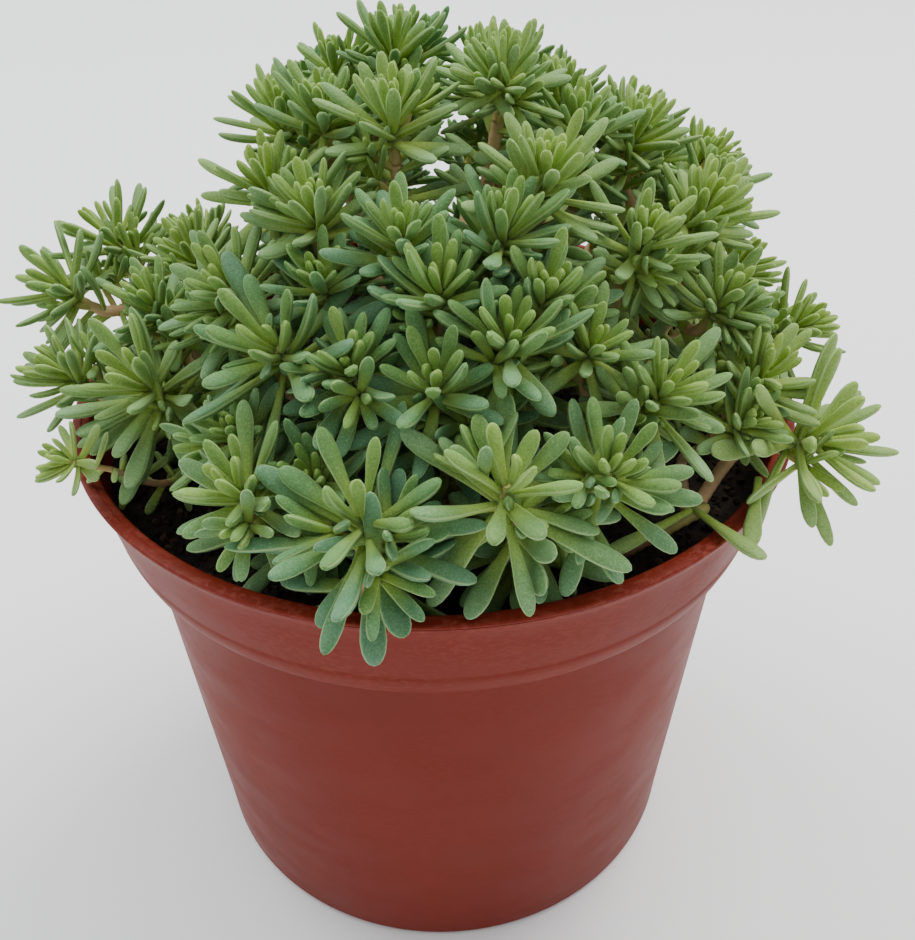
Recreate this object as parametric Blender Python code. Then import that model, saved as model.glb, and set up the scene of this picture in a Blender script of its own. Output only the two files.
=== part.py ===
"""Potted blue ball sedum: a thin nursery pot of dark potting mix, filled by a mound of fleshy rosettes.

Metres, +Z up. The origin is the middle of the pot's underside, and the plant is seen from -Y.
Low stems branch out of the mix, and each shoot on them carries one or two rosettes of blunt leaves.
"""

import math
import random
from collections import namedtuple

import bmesh
import bpy
from mathutils import Matrix, Vector
from mathutils.bvhtree import BVHTree
from mathutils.geometry import interpolate_bezier

MM = 0.001
GAP = 0.3 * MM  # left between pieces that touch

# Pot
LIP_RADIUS = 50 * MM
POT_HEIGHT = 80 * MM
BASE_RADIUS = 39.3 * MM
WALL_TOP_RADIUS = 43.4 * MM
WALL_TOP = 63 * MM  # the smooth wall ends here, under the collar
COLLAR_RADIUS = 46.6 * MM
COLLAR_BOTTOM = 66 * MM
COLLAR_TOP_RADIUS = 48.9 * MM
LIP_DEPTH = 1.6 * MM
LIP_WIDTH = 2.3 * MM
LIP_ROUNDING = 0.6 * MM
LIP_STEP = 0.2 * MM
WALL_THICKNESS = 1.0 * MM
WALL_EASE = 0.4 * MM  # how much higher the inside of the wall turns than its outside
FLOOR_ROUNDING = 1.5 * MM
FLOOR_THICKNESS = 1.2 * MM
FLOOR_RAISED = 1.5 * MM  # the recess between the middle pad and the foot ring
PAD_RADIUS = 14 * MM
FOOT_RING_RADIUS = 34.5 * MM
FOOT_SLOPE = 0.5 * MM
BASE_ROUNDING = 1.4 * MM
DRAIN_HOLES = 6
DRAIN_RADIUS = 3 * MM
DRAIN_CIRCLE = 24 * MM
ROUND_SIDES = 32
DRAIN_SIDES = 10

# Potting mix
SOIL_EDGE = 72 * MM
SOIL_CROWN = 2.2 * MM  # how much higher the middle lies than the edge
SOIL_LUMPS = 0.5 * MM
SOIL_CLEARANCE = 1.5 * GAP  # from the pot's wall, which is flatter between its corners than a true round
SOIL_RINGS = 3

# Mound that the rosettes fill: half an egg over the pot, fullest a little behind its middle
MOUND_MIDDLE = (4 * MM, 6 * MM)
MOUND_REACH = (53 * MM, 56 * MM)
MOUND_RISE = 44 * MM
ROOT_CENTRE = Vector((0, 2 * MM, 38 * MM))  # every stem fans out from this depth

# Rosettes on the mound, in rows from the front edge to the back: y, then each x from the left, in mm
MOUND_ROWS = (
    (-35, (0,)),
    (-32, (-9, 8, 25)),
    (-28, (1, 12)),
    (-23, (-3, 8, 39)),
    (-19, (-23, 24, 34)),
    (-17, (-13, 13)),
    (-9, (-35, -19, -4, 33)),
    (-3, (-12.5, 9)),
    (3, (-18, 37)),
    (7, (-4,)),
    (14, (-12,)),
    (20, (-17, -3)),
    (26, (-12, 30)),
    (30, (8,)),
    (33, (-21, -4, 18)),
    (41, (-4,)),
)
# Small side rosettes, close beside the ones above
SIDE_ROSETTES = ((-13, -38), (-22, -31), (17, -30), (-12, -23), (13, 21))
# Rosettes set one by one, most of them at the rim: x, y and height in mm, size, lean away from the mound, and whorls.
# The lowest of four whorls hangs down over the rim.
RIM_ROSETTES = (
    (-7.5, -46.5, 92.5, 1.12, -0.45, 4),
    (7, -45, 94.5, 1.08, -0.3, 4),
    (18, -42, 93.5, 0.95, 0.3, 4),
    (-21, -40, 91, 0.95, 0.1, 4),
    (-17, -28, 101, 1.15, 3.5, 3),
    (-35, -19, 91.5, 1.12, 1.8, 3),
    (36, -29, 90.5, 0.65, 0.5, 3),
    (45, -28.5, 87.5, 1.27, 1.1, 4),
    (48, -7, 90.5, 0.9, 1.3, 3),
    (44.5, 10, 91.5, 0.9, 0.9, 3),
    (43.5, 25, 93.5, 0.95, 0.9, 3),
    (39, 18, 104.5, 0.95, 0.4, 3),
    (29, 14, 107.5, 0.95, 0.3, 3),
    (26.5, 3, 113.5, 0.95, 0.3, 3),
    (18, -3, 116.5, 0.95, 0.3, 3),
    (20, 22, 108.5, 0.95, 0.3, 3),
    (17, 6, 117, 0.95, 0.3, 3),
    (9.5, 15, 118.5, 0.95, 0.3, 3),
    (33, 37, 95, 0.9, 0.9, 3),
    (22, 46, 91, 0.95, 0.9, 3),
    (6, 49, 95, 0.9, 0.9, 3),
    (-10, 49, 92, 0.95, 0.9, 3),
    (-25, 42, 92, 0.9, 0.9, 3),
    (-35, 18, 93, 0.95, 0.5, 3),
    (-33, 5, 97, 0.95, 0.3, 3),
    (-37, 30, 89, 0.95, 0.9, 3),
    (-45, 12, 96.5, 1.27, 0.8, 3),
    (-50.5, 3, 94, 1.15, 0.9, 3),
    (-47.5, -11, 88.5, 0.95, 0.9, 3),
    (-43.5, -27, 86.2, 0.45, 1.2, 2),
)
LEAN_CENTRE = Vector((0, 4 * MM, -5 * MM))  # rosettes face away from this point
MOUND_LEAN = 0.3
AXIS_SWAY = 0.1  # how far a rosette's axis strays from its rule
SIDE_DEPTH = 2 * MM  # how far below the mound's surface the side rosettes lie
SHOOT_COUNT = 45

# Stems, named for the patch of the mound that each one feeds: the middle of the patch, x and y in mm
STEM_PATCHES = {
    "stem_front": (1, -38),
    "stem_front_left": (-21, -33),
    "stem_front_right": (23, -32),
    "stem_left": (-41, -8),
    "stem_right": (40, -6),
    "stem_middle_left": (-16, -10),
    "stem_middle_right": (13, -10),
    "stem_back_left": (-31, 27),
    "stem_back_middle": (-3, 22),
    "stem_back": (-3, 44),
    "stem_back_right": (30, 25),
    "stem_rim_right": (41, -28),
}
# This one trails low over the mix before it climbs the rim
TRAILING_STEM = "stem_rim_right"
TRAILING_FOOT = Vector((15, -31, 67.5)) * MM
TRAILING_FORK = Vector((30.5, -32, 79.5)) * MM
STEM_FOOT_DEPTH = 6 * MM
STEM_HOLE_SIDES = 10
STEM_HOLE_LENGTH = 40 * MM
STEM_FORK = 0.52  # share of the way from the root centre to the rosettes where the trunk ends
TRUNK_LEAST = 8 * MM  # how far a trunk rises above the mix at least
TRUNK_OVER = 1.5 * MM  # how far a trunk runs past its fork
TRUNK_RADIUS = 1.5 * MM
TRUNK_TOP_RADIUS = 1.27 * MM
BRANCH_RADIUS = 1.15 * MM
TRAILING_SLIMMER = 0.76  # the trailing stem's thickness, as a share of the others'
TWIG_RADIUS = 1.0 * MM
TWIG_TIP_SHARE = 0.72
SECOND_TWIG_SHARE = 0.7  # the second twig of a fork starts this much thinner, inside the first
SECOND_TWIG_RISE = 0.4 * MM
PATH_PULL = 0.36
BRANCH_SPACING = 1.2 * MM  # how far apart the branches leave their trunk
BRANCH_ELBOW = 0.4  # share of a branch that runs straight into its shoot
BRANCH_LOWEST = SOIL_EDGE + SOIL_CROWN + 1.5 * MM  # no branch starts or bends lower than this
SINGLE_TWIG = 6 * MM
FORKED_TWIG = 6.5 * MM  # below the lowest whorl

# Leaves
LEAF_LENGTH_FRONT = 12.5 * MM
LEAF_LENGTH_BACK = 9 * MM
FRONT_EDGE = -45 * MM  # leaves shorten from here, over this depth
FRONT_DEPTH = 60 * MM
LEAF_WIDTH_SHARE = 0.21
LEAF_WIDTH_LEAST = 1.8 * MM
LEAF_THICKNESS_SHARE = 0.46
LEAF_THICKNESS_LEAST = 0.9 * MM
LEAF_TIP_SHARE = 0.52  # a leaf's width at its blunt tip, as a share of its full width
LEAF_WIDEST = 0.7  # share of the length at which a leaf is widest
LEAF_BEND_SHARE = 0.06
TIP_DROP_SHARE = 0.25  # of the thickness, by which the upper side falls at the tip
LEAF_CLEAR_FROM = 0.3  # share of the length from which a leaf stands clear of its own whorl
LARGE_WHORL = 5
SMALL_WHORL = 4
LARGE_SIZE = 0.96  # rosettes of this size and over have large whorls
ROSETTE_SIZES = (0.87, 1.05)
SIDE_SIZE = 0.72
WHORL_SPREADS = (24, 60, 90, 120)  # degrees from the rosette's axis, from the young whorl to the oldest
SPREAD_SWAY = 9
TURN_SWAY = 0.2  # radians
LENGTH_SWAY = (0.88, 1.08)
SPREAD_STEP = 6  # degrees by which a leaf closes up to clear its neighbours
TURN_ASIDE = 0.22  # radians
SHORTENINGS = (1.0, 0.84, 0.7)
WHORL_LENGTHS = (0.5, 0.85, 1.0, 1.0)
WHORL_DEPTH = 1.5 * MM  # how far apart the whorls stand on their twig
BUD_HEIGHT = 1.2 * MM
NEIGHBOUR_REACH = 30 * MM  # leaves further than this from a rosette can't touch its own
SEED = 7

Rosette = namedtuple("Rosette", "centre axis size whorls around seed")
Leaf = namedtuple("Leaf", "root direction top length width thickness bend")
Obstacle = namedtuple("Obstacle", "tree middle reach")


def clear_scene():
    for item in list(bpy.data.objects):
        bpy.data.objects.remove(item, do_unlink=True)


def material(name, colour, roughness):
    made = bpy.data.materials.new(name)
    made.use_nodes = True
    shader = made.node_tree.nodes["Principled BSDF"]
    shader.inputs["Base Color"].default_value = (*colour, 1.0)
    shader.inputs["Roughness"].default_value = roughness
    shader.inputs["Metallic"].default_value = 0.0
    made.diffuse_color = (*colour, 1.0)
    return made


def add_object(name, data, finish=None, parent=None):
    made = bpy.data.objects.new(name, data)
    bpy.context.scene.collection.objects.link(made)
    if finish:
        data.materials.clear()
        data.materials.append(finish)
    made.parent = parent
    return made


def turned(name, outline):
    """A solid turned about Z from an outline that starts and ends on the axis."""
    shape = bmesh.new()
    corners = [shape.verts.new((radius, 0, height)) for radius, height in outline]
    edges = [shape.edges.new(pair) for pair in zip(corners, corners[1:])]
    bmesh.ops.spin(
        shape, geom=corners + edges, cent=(0, 0, 0), axis=(0, 0, 1), angle=math.tau, steps=ROUND_SIDES
    )
    bmesh.ops.remove_doubles(shape, verts=shape.verts, dist=0.01 * MM)
    bmesh.ops.recalc_face_normals(shape, faces=shape.faces)
    mesh = bpy.data.meshes.new(name)
    shape.to_mesh(mesh)
    shape.free()
    return mesh


def combine(base, pieces, operation):
    """Joins the pieces into the base object, or cuts them from it, and removes them."""
    group = bpy.data.collections.new("pieces")
    bpy.context.scene.collection.children.link(group)
    for piece in pieces:
        bpy.context.scene.collection.objects.unlink(piece)
        group.objects.link(piece)
    boolean = base.modifiers.new("combine", "BOOLEAN")
    boolean.operation = operation
    boolean.operand_type = "COLLECTION"
    boolean.collection = group
    graph = bpy.context.evaluated_depsgraph_get()
    result = bpy.data.meshes.new_from_object(base.evaluated_get(graph))
    base.modifiers.clear()
    base.data = result
    for piece in pieces:
        bpy.data.objects.remove(piece, do_unlink=True)
    bpy.data.collections.remove(group)


def shade_round(item):
    item.data.shade_smooth()
    item.data.set_sharp_from_angle(angle=math.radians(35))


def pot_outline():
    """Radius and height from the middle of the underside, up the outside, over the lip and down inside."""
    rounding = [
        (
            BASE_RADIUS - BASE_ROUNDING * (1 - math.sin(turn)),
            BASE_ROUNDING * (1 - math.cos(turn)),
        )
        for turn in (0, math.pi / 4, math.pi / 2)
    ]
    lip_bottom = POT_HEIGHT - LIP_DEPTH
    inner_lip = LIP_RADIUS - LIP_WIDTH
    floor_top = FLOOR_RAISED + FLOOR_THICKNESS
    return (
        (0, 0),
        (PAD_RADIUS, 0),
        (PAD_RADIUS + FOOT_SLOPE, FLOOR_RAISED),
        (FOOT_RING_RADIUS - FOOT_SLOPE, FLOOR_RAISED),
        (FOOT_RING_RADIUS, 0),
        *rounding,
        (WALL_TOP_RADIUS, WALL_TOP),
        (COLLAR_RADIUS, COLLAR_BOTTOM),
        (COLLAR_TOP_RADIUS, lip_bottom - LIP_STEP),
        (LIP_RADIUS, lip_bottom),
        (LIP_RADIUS, POT_HEIGHT - LIP_ROUNDING),
        (LIP_RADIUS - LIP_ROUNDING, POT_HEIGHT),
        (inner_lip + LIP_ROUNDING, POT_HEIGHT),
        (inner_lip, POT_HEIGHT - LIP_ROUNDING),
        (COLLAR_RADIUS - WALL_THICKNESS, COLLAR_BOTTOM + WALL_EASE),
        (WALL_TOP_RADIUS - WALL_THICKNESS, WALL_TOP + WALL_EASE),
        (BASE_RADIUS - WALL_THICKNESS, floor_top + FLOOR_ROUNDING),
        (BASE_RADIUS - WALL_THICKNESS - FLOOR_ROUNDING, floor_top),
        (0, floor_top),
    )


def build_pot(finish, parent):
    pot = add_object("pot", turned("pot", pot_outline()), None, parent)
    cutters = []
    for index in range(DRAIN_HOLES):
        turn = math.tau * (index + 0.5) / DRAIN_HOLES
        shape = bmesh.new()
        bmesh.ops.create_cone(
            shape,
            cap_ends=True,
            segments=DRAIN_SIDES,
            radius1=DRAIN_RADIUS,
            radius2=DRAIN_RADIUS,
            depth=4 * (FLOOR_RAISED + FLOOR_THICKNESS),
        )
        mesh = bpy.data.meshes.new("drain_hole")
        shape.to_mesh(mesh)
        shape.free()
        cutter = add_object("drain_hole", mesh)
        cutter.location = (DRAIN_CIRCLE * math.cos(turn), DRAIN_CIRCLE * math.sin(turn), 0)
        cutters.append(cutter)
    combine(pot, cutters, "DIFFERENCE")
    pot.data.materials.clear()
    pot.data.materials.append(finish)
    shade_round(pot)
    return pot


def soil_outline():
    """The mix stands a gap clear of the pot's floor and wall, and is rounded up to its middle."""
    floor = FLOOR_RAISED + FLOOR_THICKNESS + GAP
    inner_lip = LIP_RADIUS - LIP_WIDTH
    collar = COLLAR_RADIUS - WALL_THICKNESS
    up_collar = (SOIL_EDGE - COLLAR_BOTTOM) / (POT_HEIGHT - COLLAR_BOTTOM)
    edge = collar + (inner_lip - collar) * up_collar - SOIL_CLEARANCE
    rings = [edge * (1 - step / SOIL_RINGS) for step in range(SOIL_RINGS + 1)]
    top = [(radius, SOIL_EDGE + SOIL_CROWN * (1 - (radius / edge) ** 2)) for radius in rings]
    base = BASE_RADIUS - WALL_THICKNESS - SOIL_CLEARANCE
    return (
        (0, floor),
        (base - FLOOR_ROUNDING, floor),
        (base, floor + FLOOR_ROUNDING),
        (WALL_TOP_RADIUS - WALL_THICKNESS - SOIL_CLEARANCE, WALL_TOP + WALL_EASE),
        (collar - SOIL_CLEARANCE, COLLAR_BOTTOM + WALL_EASE + GAP),
        *top,
    )


def build_soil(finish, parent, trunks):
    """Potting mix with a plain hole for the foot of each stem."""
    soil = add_object("soil", turned("soil", soil_outline()), None, parent)
    draw = random.Random(SEED)
    for vertex in soil.data.vertices:
        inside = math.hypot(vertex.co.x, vertex.co.y) < WALL_TOP_RADIUS
        if vertex.co.z > SOIL_EDGE and inside:
            vertex.co.z += draw.uniform(-SOIL_LUMPS, SOIL_LUMPS)
    cutters = []
    for foot, direction, thick in trunks:
        shape = bmesh.new()
        radius = thick + GAP
        bmesh.ops.create_cone(
            shape,
            cap_ends=True,
            segments=STEM_HOLE_SIDES,
            radius1=radius,
            radius2=radius,
            depth=STEM_HOLE_LENGTH,
        )
        bmesh.ops.translate(shape, verts=shape.verts, vec=(0, 0, STEM_HOLE_LENGTH / 2 - GAP))
        mesh = bpy.data.meshes.new("stem_hole")
        shape.to_mesh(mesh)
        shape.free()
        cutter = add_object("stem_hole", mesh)
        cutter.location = foot
        cutter.rotation_euler = direction.to_track_quat("Z", "Y").to_euler()
        cutters.append(cutter)
    combine(soil, cutters, "DIFFERENCE")
    soil.data.materials.clear()
    soil.data.materials.append(finish)
    shade_round(soil)
    return soil


def mound_height(x, y):
    across = ((x - MOUND_MIDDLE[0]) / MOUND_REACH[0]) ** 2
    along = ((y - MOUND_MIDDLE[1]) / MOUND_REACH[1]) ** 2
    return POT_HEIGHT + MOUND_RISE * max(0.0, 1 - across - along)


def rosette_axis(centre, lean):
    """Rosettes face out of the mound, and those near its edge lean out further."""
    outward = (centre - LEAN_CENTRE).normalized()
    edge = math.hypot(centre.x, centre.y) / LIP_RADIUS
    return (outward + Vector((outward.x, outward.y, 0)) * lean * edge**3).normalized()


def all_rosettes():
    draw = random.Random(SEED)
    found = []
    for y, row in MOUND_ROWS:
        for x in row:
            centre = Vector((x * MM, y * MM, mound_height(x * MM, y * MM)))
            found.append((centre, draw.uniform(*ROSETTE_SIZES), MOUND_LEAN, 3))
    for x, y in SIDE_ROSETTES:
        centre = Vector((x * MM, y * MM, mound_height(x * MM, y * MM) - SIDE_DEPTH))
        found.append((centre, SIDE_SIZE, MOUND_LEAN, 2))
    for x, y, height, size, lean, whorls in RIM_ROSETTES:
        found.append((Vector((x, y, height)) * MM, size, lean, whorls))
    rosettes = []
    for index, (centre, size, lean, whorls) in enumerate(found):
        sway = Vector((draw.uniform(-1, 1), draw.uniform(-1, 1), 0)) * AXIS_SWAY
        axis = (rosette_axis(centre, lean) + sway).normalized()
        around = LARGE_WHORL if size >= LARGE_SIZE else SMALL_WHORL
        rosettes.append(Rosette(centre, axis, size, whorls, around, SEED + index))
    return rosettes


def paired(rosettes):
    """Joins the nearest free neighbours two by two until they stand on SHOOT_COUNT shoots."""
    near = sorted(
        ((a.centre - b.centre).length, i, j)
        for i, a in enumerate(rosettes)
        for j, b in enumerate(rosettes[:i])
    )
    partner = {}
    for _, i, j in near:
        if len(partner) // 2 == len(rosettes) - SHOOT_COUNT:
            break
        if i not in partner and j not in partner:
            partner[i] = j
            partner[j] = i
    return [
        [rosettes[i], rosettes[partner[i]]] if i in partner else [rosettes[i]]
        for i in range(len(rosettes))
        if i not in partner or i < partner[i]
    ]


def shoot_base(shoot):
    """Where a shoot leaves its stem, and which way it sets off."""
    if len(shoot) == 1:
        return shoot[0].centre - shoot[0].axis * SINGLE_TWIG, shoot[0].axis
    middle = sum((rosette.centre for rosette in shoot), Vector()) / len(shoot)
    direction = sum((rosette.axis for rosette in shoot), Vector()).normalized()
    leafy = WHORL_DEPTH * max(rosette.whorls for rosette in shoot)
    return middle - direction * (FORKED_TWIG + leafy), direction


def bent_path(start, start_way, end, end_way, steps):
    """Points of a smooth path that sets off one way and arrives another way."""
    pull = (end - start).length * PATH_PULL
    return interpolate_bezier(start, start + start_way * pull, end - end_way * pull, end, steps + 1)


def tube(name, path, start_radius, end_radius):
    """A closed tapering six-sided tube along a path."""
    curve = bpy.data.curves.new(name, "CURVE")
    curve.dimensions = "3D"
    curve.bevel_depth = 1.0
    curve.bevel_resolution = 1
    curve.use_fill_caps = True
    spline = curve.splines.new("POLY")
    spline.points.add(len(path) - 1)
    for index, (point, place) in enumerate(zip(spline.points, path)):
        share = index / (len(path) - 1)
        point.co = (*place, 1.0)
        point.radius = start_radius + (end_radius - start_radius) * share
    drawn = add_object(name, curve)
    graph = bpy.context.evaluated_depsgraph_get()
    mesh = bpy.data.meshes.new_from_object(drawn.evaluated_get(graph))
    bpy.data.objects.remove(drawn, do_unlink=True)
    shape = bmesh.new()
    shape.from_mesh(mesh)
    bmesh.ops.remove_doubles(shape, verts=shape.verts, dist=0.001 * MM)
    bmesh.ops.recalc_face_normals(shape, faces=shape.faces)
    shape.to_mesh(mesh)
    shape.free()
    return add_object(name, mesh)


def plan_stems(shoots):
    """Gives each shoot to the stem whose patch lies nearest its own way out of the mix."""
    ways = {}
    for name, (x, y) in STEM_PATCHES.items():
        top = Vector((x * MM, y * MM, mound_height(x * MM, y * MM)))
        ways[name] = (top - ROOT_CENTRE).normalized()
    plan = {name: [] for name in STEM_PATCHES}
    for shoot in shoots:
        base, _ = shoot_base(shoot)
        outward = (base - ROOT_CENTRE).normalized()
        plan[max(ways, key=lambda name: outward.dot(ways[name]))].append(shoot)
    return plan


def trunk_of(name, shoots):
    """The foot of a stem, its lean, and where its trunk ends."""
    if name == TRAILING_STEM:
        return TRAILING_FOOT, (TRAILING_FORK - TRAILING_FOOT).normalized(), TRAILING_FORK
    bases = [shoot_base(shoot)[0] for shoot in shoots]
    middle = sum(bases, Vector()) / len(bases)
    direction = (middle - ROOT_CENTRE).normalized()
    fork = ROOT_CENTRE + (middle - ROOT_CENTRE) * STEM_FORK
    fork += direction * max(0.0, (SOIL_EDGE + TRUNK_LEAST - fork.z) / direction.z)
    foot = ROOT_CENTRE + direction * ((SOIL_EDGE - STEM_FOOT_DEPTH - ROOT_CENTRE.z) / direction.z)
    return foot, direction, fork


def thickness_share(name):
    return TRAILING_SLIMMER if name == TRAILING_STEM else 1.0


def build_stem(name, shoots, finish, parent):
    """A woody trunk with a branch to each of its shoots, the outer ones leaving it lowest."""
    foot, direction, fork = trunk_of(name, shoots)
    share = thickness_share(name)
    bases = sorted((shoot_base(shoot) for shoot in shoots), key=lambda found: found[0].z)
    top = fork + direction * TRUNK_OVER
    spacing = min(BRANCH_SPACING, (fork.z - BRANCH_LOWEST) / direction.z / len(bases))
    pieces = []
    for index, (base, way) in enumerate(bases):
        start = fork - direction * (spacing * (len(bases) - index))
        end = base - way * GAP
        straight = min((end - start).length * BRANCH_ELBOW, (end.z - BRANCH_LOWEST) / way.z)
        elbow = end - way * straight
        pieces.append(tube("branch", (start, elbow, end), BRANCH_RADIUS * share, TWIG_RADIUS * share))
    stem = tube(name, (foot, top), TRUNK_RADIUS * share, TRUNK_TOP_RADIUS * share)
    stem.name = name
    combine(stem, pieces, "UNION")
    stem.data.materials.clear()
    stem.data.materials.append(finish)
    shade_round(stem)
    stem.parent = parent
    return stem


def twig_rings(rosette):
    """Rings of the twig's top, from its tip down. A leaf grows from every second face between two rings."""
    draw = random.Random(rosette.seed)
    across = rosette.axis.orthogonal().normalized()
    phase = draw.uniform(0, math.tau)
    rings = []
    for level in range(rosette.whorls + 1):
        radius = TWIG_RADIUS * (TWIG_TIP_SHARE if level == 0 else 1.0)
        middle = rosette.centre - rosette.axis * WHORL_DEPTH * level
        ring = []
        for index in range(rosette.around):
            turn = phase + math.tau * (index + level / 2) / rosette.around
            ring.append(middle + Matrix.Rotation(turn, 3, rosette.axis) @ across * radius)
        rings.append(ring)
    return rings


def leaf_roots(rings):
    """The faces that bear leaves, as whorl number and three corners: two above and one below."""
    roots = []
    for level in reversed(range(len(rings) - 1)):
        upper, lower = rings[level], rings[level + 1]
        for index, corner in enumerate(upper):
            roots.append((level, corner, upper[(index + 1) % len(upper)], lower[index]))
    return roots


def full_length(rosette):
    """Leaves are longest on the sunny front edge."""
    back = min(1.0, max(0.0, (rosette.centre.y - FRONT_EDGE) / FRONT_DEPTH))
    return rosette.size * (LEAF_LENGTH_FRONT + (LEAF_LENGTH_BACK - LEAF_LENGTH_FRONT) * back)


def blade(leaf):
    """Corners past the root: flat above and keeled below where it is widest, then the blunt tip."""
    side = leaf.top.cross(leaf.direction).normalized() * leaf.width / 2
    widest = leaf.root + leaf.direction * leaf.length * LEAF_WIDEST + leaf.top * leaf.bend * LEAF_WIDEST**2
    tip = leaf.root + leaf.direction * leaf.length + leaf.top * (leaf.bend - leaf.thickness * TIP_DROP_SHARE)
    keel = widest - leaf.top * leaf.thickness
    return [widest - side, widest + side, keel, tip - side * LEAF_TIP_SHARE, tip + side * LEAF_TIP_SHARE]


BLADE_FACES = ((0, 3, 4, 1), (1, 4, 5, 2), (2, 5, 3, 0), (3, 6, 7, 4), (4, 7, 5), (7, 6, 5), (6, 3, 5))


def leaf_shape(leaf, corners, start=0.0):
    """The closed shape of a leaf from this share of its length on."""
    outer = blade(leaf)
    root = [corner.lerp(outer[index], start / LEAF_WIDEST) for index, corner in enumerate(corners)]
    return root + outer, [(0, 1, 2), *BLADE_FACES]


def obstacle(points, faces):
    middle = sum(points, Vector()) / len(points)
    reach = max((point - middle).length for point in points)
    return Obstacle(BVHTree.FromPolygons(points, faces), middle, reach)


def mesh_obstacle(mesh):
    points = [vertex.co.copy() for vertex in mesh.vertices]
    return obstacle(points, [tuple(face.vertices) for face in mesh.polygons])


def is_clear(shape, obstacles):
    """True where this shape meets none of the obstacles."""
    for other in obstacles:
        near = (other.middle - shape.middle).length < other.reach + shape.reach
        if near and other.tree.overlap(shape.tree):
            return False
    return True


def grown_leaf(rosette, root, turn, spread, length):
    """The leaf that grows from this root, turned so far aside and so far away from the axis."""
    corners = root[1:]
    middle = sum(corners, Vector()) / len(corners)
    arm = middle - rosette.centre
    outward = (arm - rosette.axis * arm.dot(rosette.axis)).normalized()
    outward = Matrix.Rotation(turn, 3, rosette.axis) @ outward
    angle = math.radians(spread)
    width = max(length * LEAF_WIDTH_SHARE, LEAF_WIDTH_LEAST * rosette.size)
    return Leaf(
        root=middle,
        direction=rosette.axis * math.cos(angle) + outward * math.sin(angle),
        top=rosette.axis * math.sin(angle) - outward * math.cos(angle),
        length=length,
        width=width,
        thickness=max(width * LEAF_THICKNESS_SHARE, LEAF_THICKNESS_LEAST),
        bend=length * LEAF_BEND_SHARE,
    )


def fitted_leaf(rosette, root, wish, others, siblings):
    """The wished leaf, closed towards the axis, turned aside or shortened until it clears its neighbours."""
    turn, spread, length = wish
    for share in SHORTENINGS:
        for angle in range(round(spread), WHORL_SPREADS[0] // 2, -SPREAD_STEP):
            for aside in (0, TURN_ASIDE, -TURN_ASIDE):
                leaf = grown_leaf(rosette, root, turn + aside, angle, length * share)
                fat = leaf._replace(
                    length=leaf.length + GAP, width=leaf.width + 2 * GAP, thickness=leaf.thickness + 2 * GAP
                )
                fat = fat._replace(root=fat.root + fat.top * GAP / 2)
                if is_clear(obstacle(*leaf_shape(fat, root[1:])), others) and is_clear(
                    obstacle(*leaf_shape(fat, root[1:], LEAF_CLEAR_FROM)), siblings
                ):
                    return leaf
    return None


def wished_leaf(rosette, whorl, draw):
    """How one leaf of a whorl would grow with nothing beside it, as (turn, spread, length)."""
    length = full_length(rosette) * WHORL_LENGTHS[whorl] * draw.uniform(*LENGTH_SWAY)
    turn = draw.uniform(-TURN_SWAY, TURN_SWAY)
    return turn, WHORL_SPREADS[whorl] + draw.uniform(-SPREAD_SWAY, SPREAD_SWAY), length


def grow_leaves(rosettes, fixed, cores):
    """Leaves of every rosette, fitted in turn from the oldest, so that neighbours share the room."""
    grown = {rosette.seed: {} for rosette in rosettes}
    siblings = {rosette.seed: [] for rosette in rosettes}
    whole = {rosette.seed: [cores[rosette.seed]] for rosette in rosettes}
    draws = {rosette.seed: random.Random(rosette.seed) for rosette in rosettes}
    for turn in range(len(WHORL_SPREADS) * LARGE_WHORL):
        for rosette in rosettes:
            roots = leaf_roots(twig_rings(rosette))
            if turn >= len(roots):
                continue
            root = roots[turn]
            wish = wished_leaf(rosette, root[0], draws[rosette.seed])
            near = [
                other
                for seed, group in whole.items()
                if seed != rosette.seed
                for other in group
                if (other.middle - rosette.centre).length < NEIGHBOUR_REACH
            ]
            leaf = fitted_leaf(rosette, root, wish, fixed + near, siblings[rosette.seed])
            if leaf:
                grown[rosette.seed][turn] = leaf
                whole[rosette.seed].append(obstacle(*leaf_shape(leaf, root[1:])))
                siblings[rosette.seed].append(obstacle(*leaf_shape(leaf, root[1:], LEAF_CLEAR_FROM)))
    return grown


def rosette_mesh(rosette, path, leaves):
    """One closed mesh: a five-sided twig along the path, with leaves drawn out of its faces."""
    shape = bmesh.new()
    rings = [[shape.verts.new(point) for point in ring] for ring in twig_rings(rosette)]
    bud = shape.verts.new(rosette.centre + rosette.axis * BUD_HEIGHT)
    bearing = []
    for index in range(rosette.around):
        shape.faces.new((bud, rings[0][index], rings[0][(index + 1) % rosette.around]))
    for level in reversed(range(len(rings) - 1)):
        upper, lower = rings[level], rings[level + 1]
        for index in range(rosette.around):
            after = (index + 1) % rosette.around
            bearing.append((upper[index], upper[after], lower[index]))
            shape.faces.new((upper[after], lower[index], lower[after]))
    last = rings[-1]
    for place, way, radius in path:
        middle = sum((corner.co for corner in last), Vector()) / len(last)
        ring = []
        for corner in last:
            arm = corner.co - middle
            arm -= way * arm.dot(way)
            ring.append(shape.verts.new(place + arm.normalized() * radius))
        for index in range(rosette.around):
            after = (index + 1) % rosette.around
            shape.faces.new((last[after], last[index], ring[index], ring[after]))
        last = ring
    shape.faces.new(reversed(last))
    for index, root in enumerate(bearing):
        if index in leaves:
            corners = [*root, *(shape.verts.new(point) for point in blade(leaves[index]))]
            for face in BLADE_FACES:
                shape.faces.new([corners[corner] for corner in face])
        else:
            shape.faces.new((root[1], root[0], root[2]))
    mesh = bpy.data.meshes.new("rosette")
    shape.to_mesh(mesh)
    shape.free()
    return mesh


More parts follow.
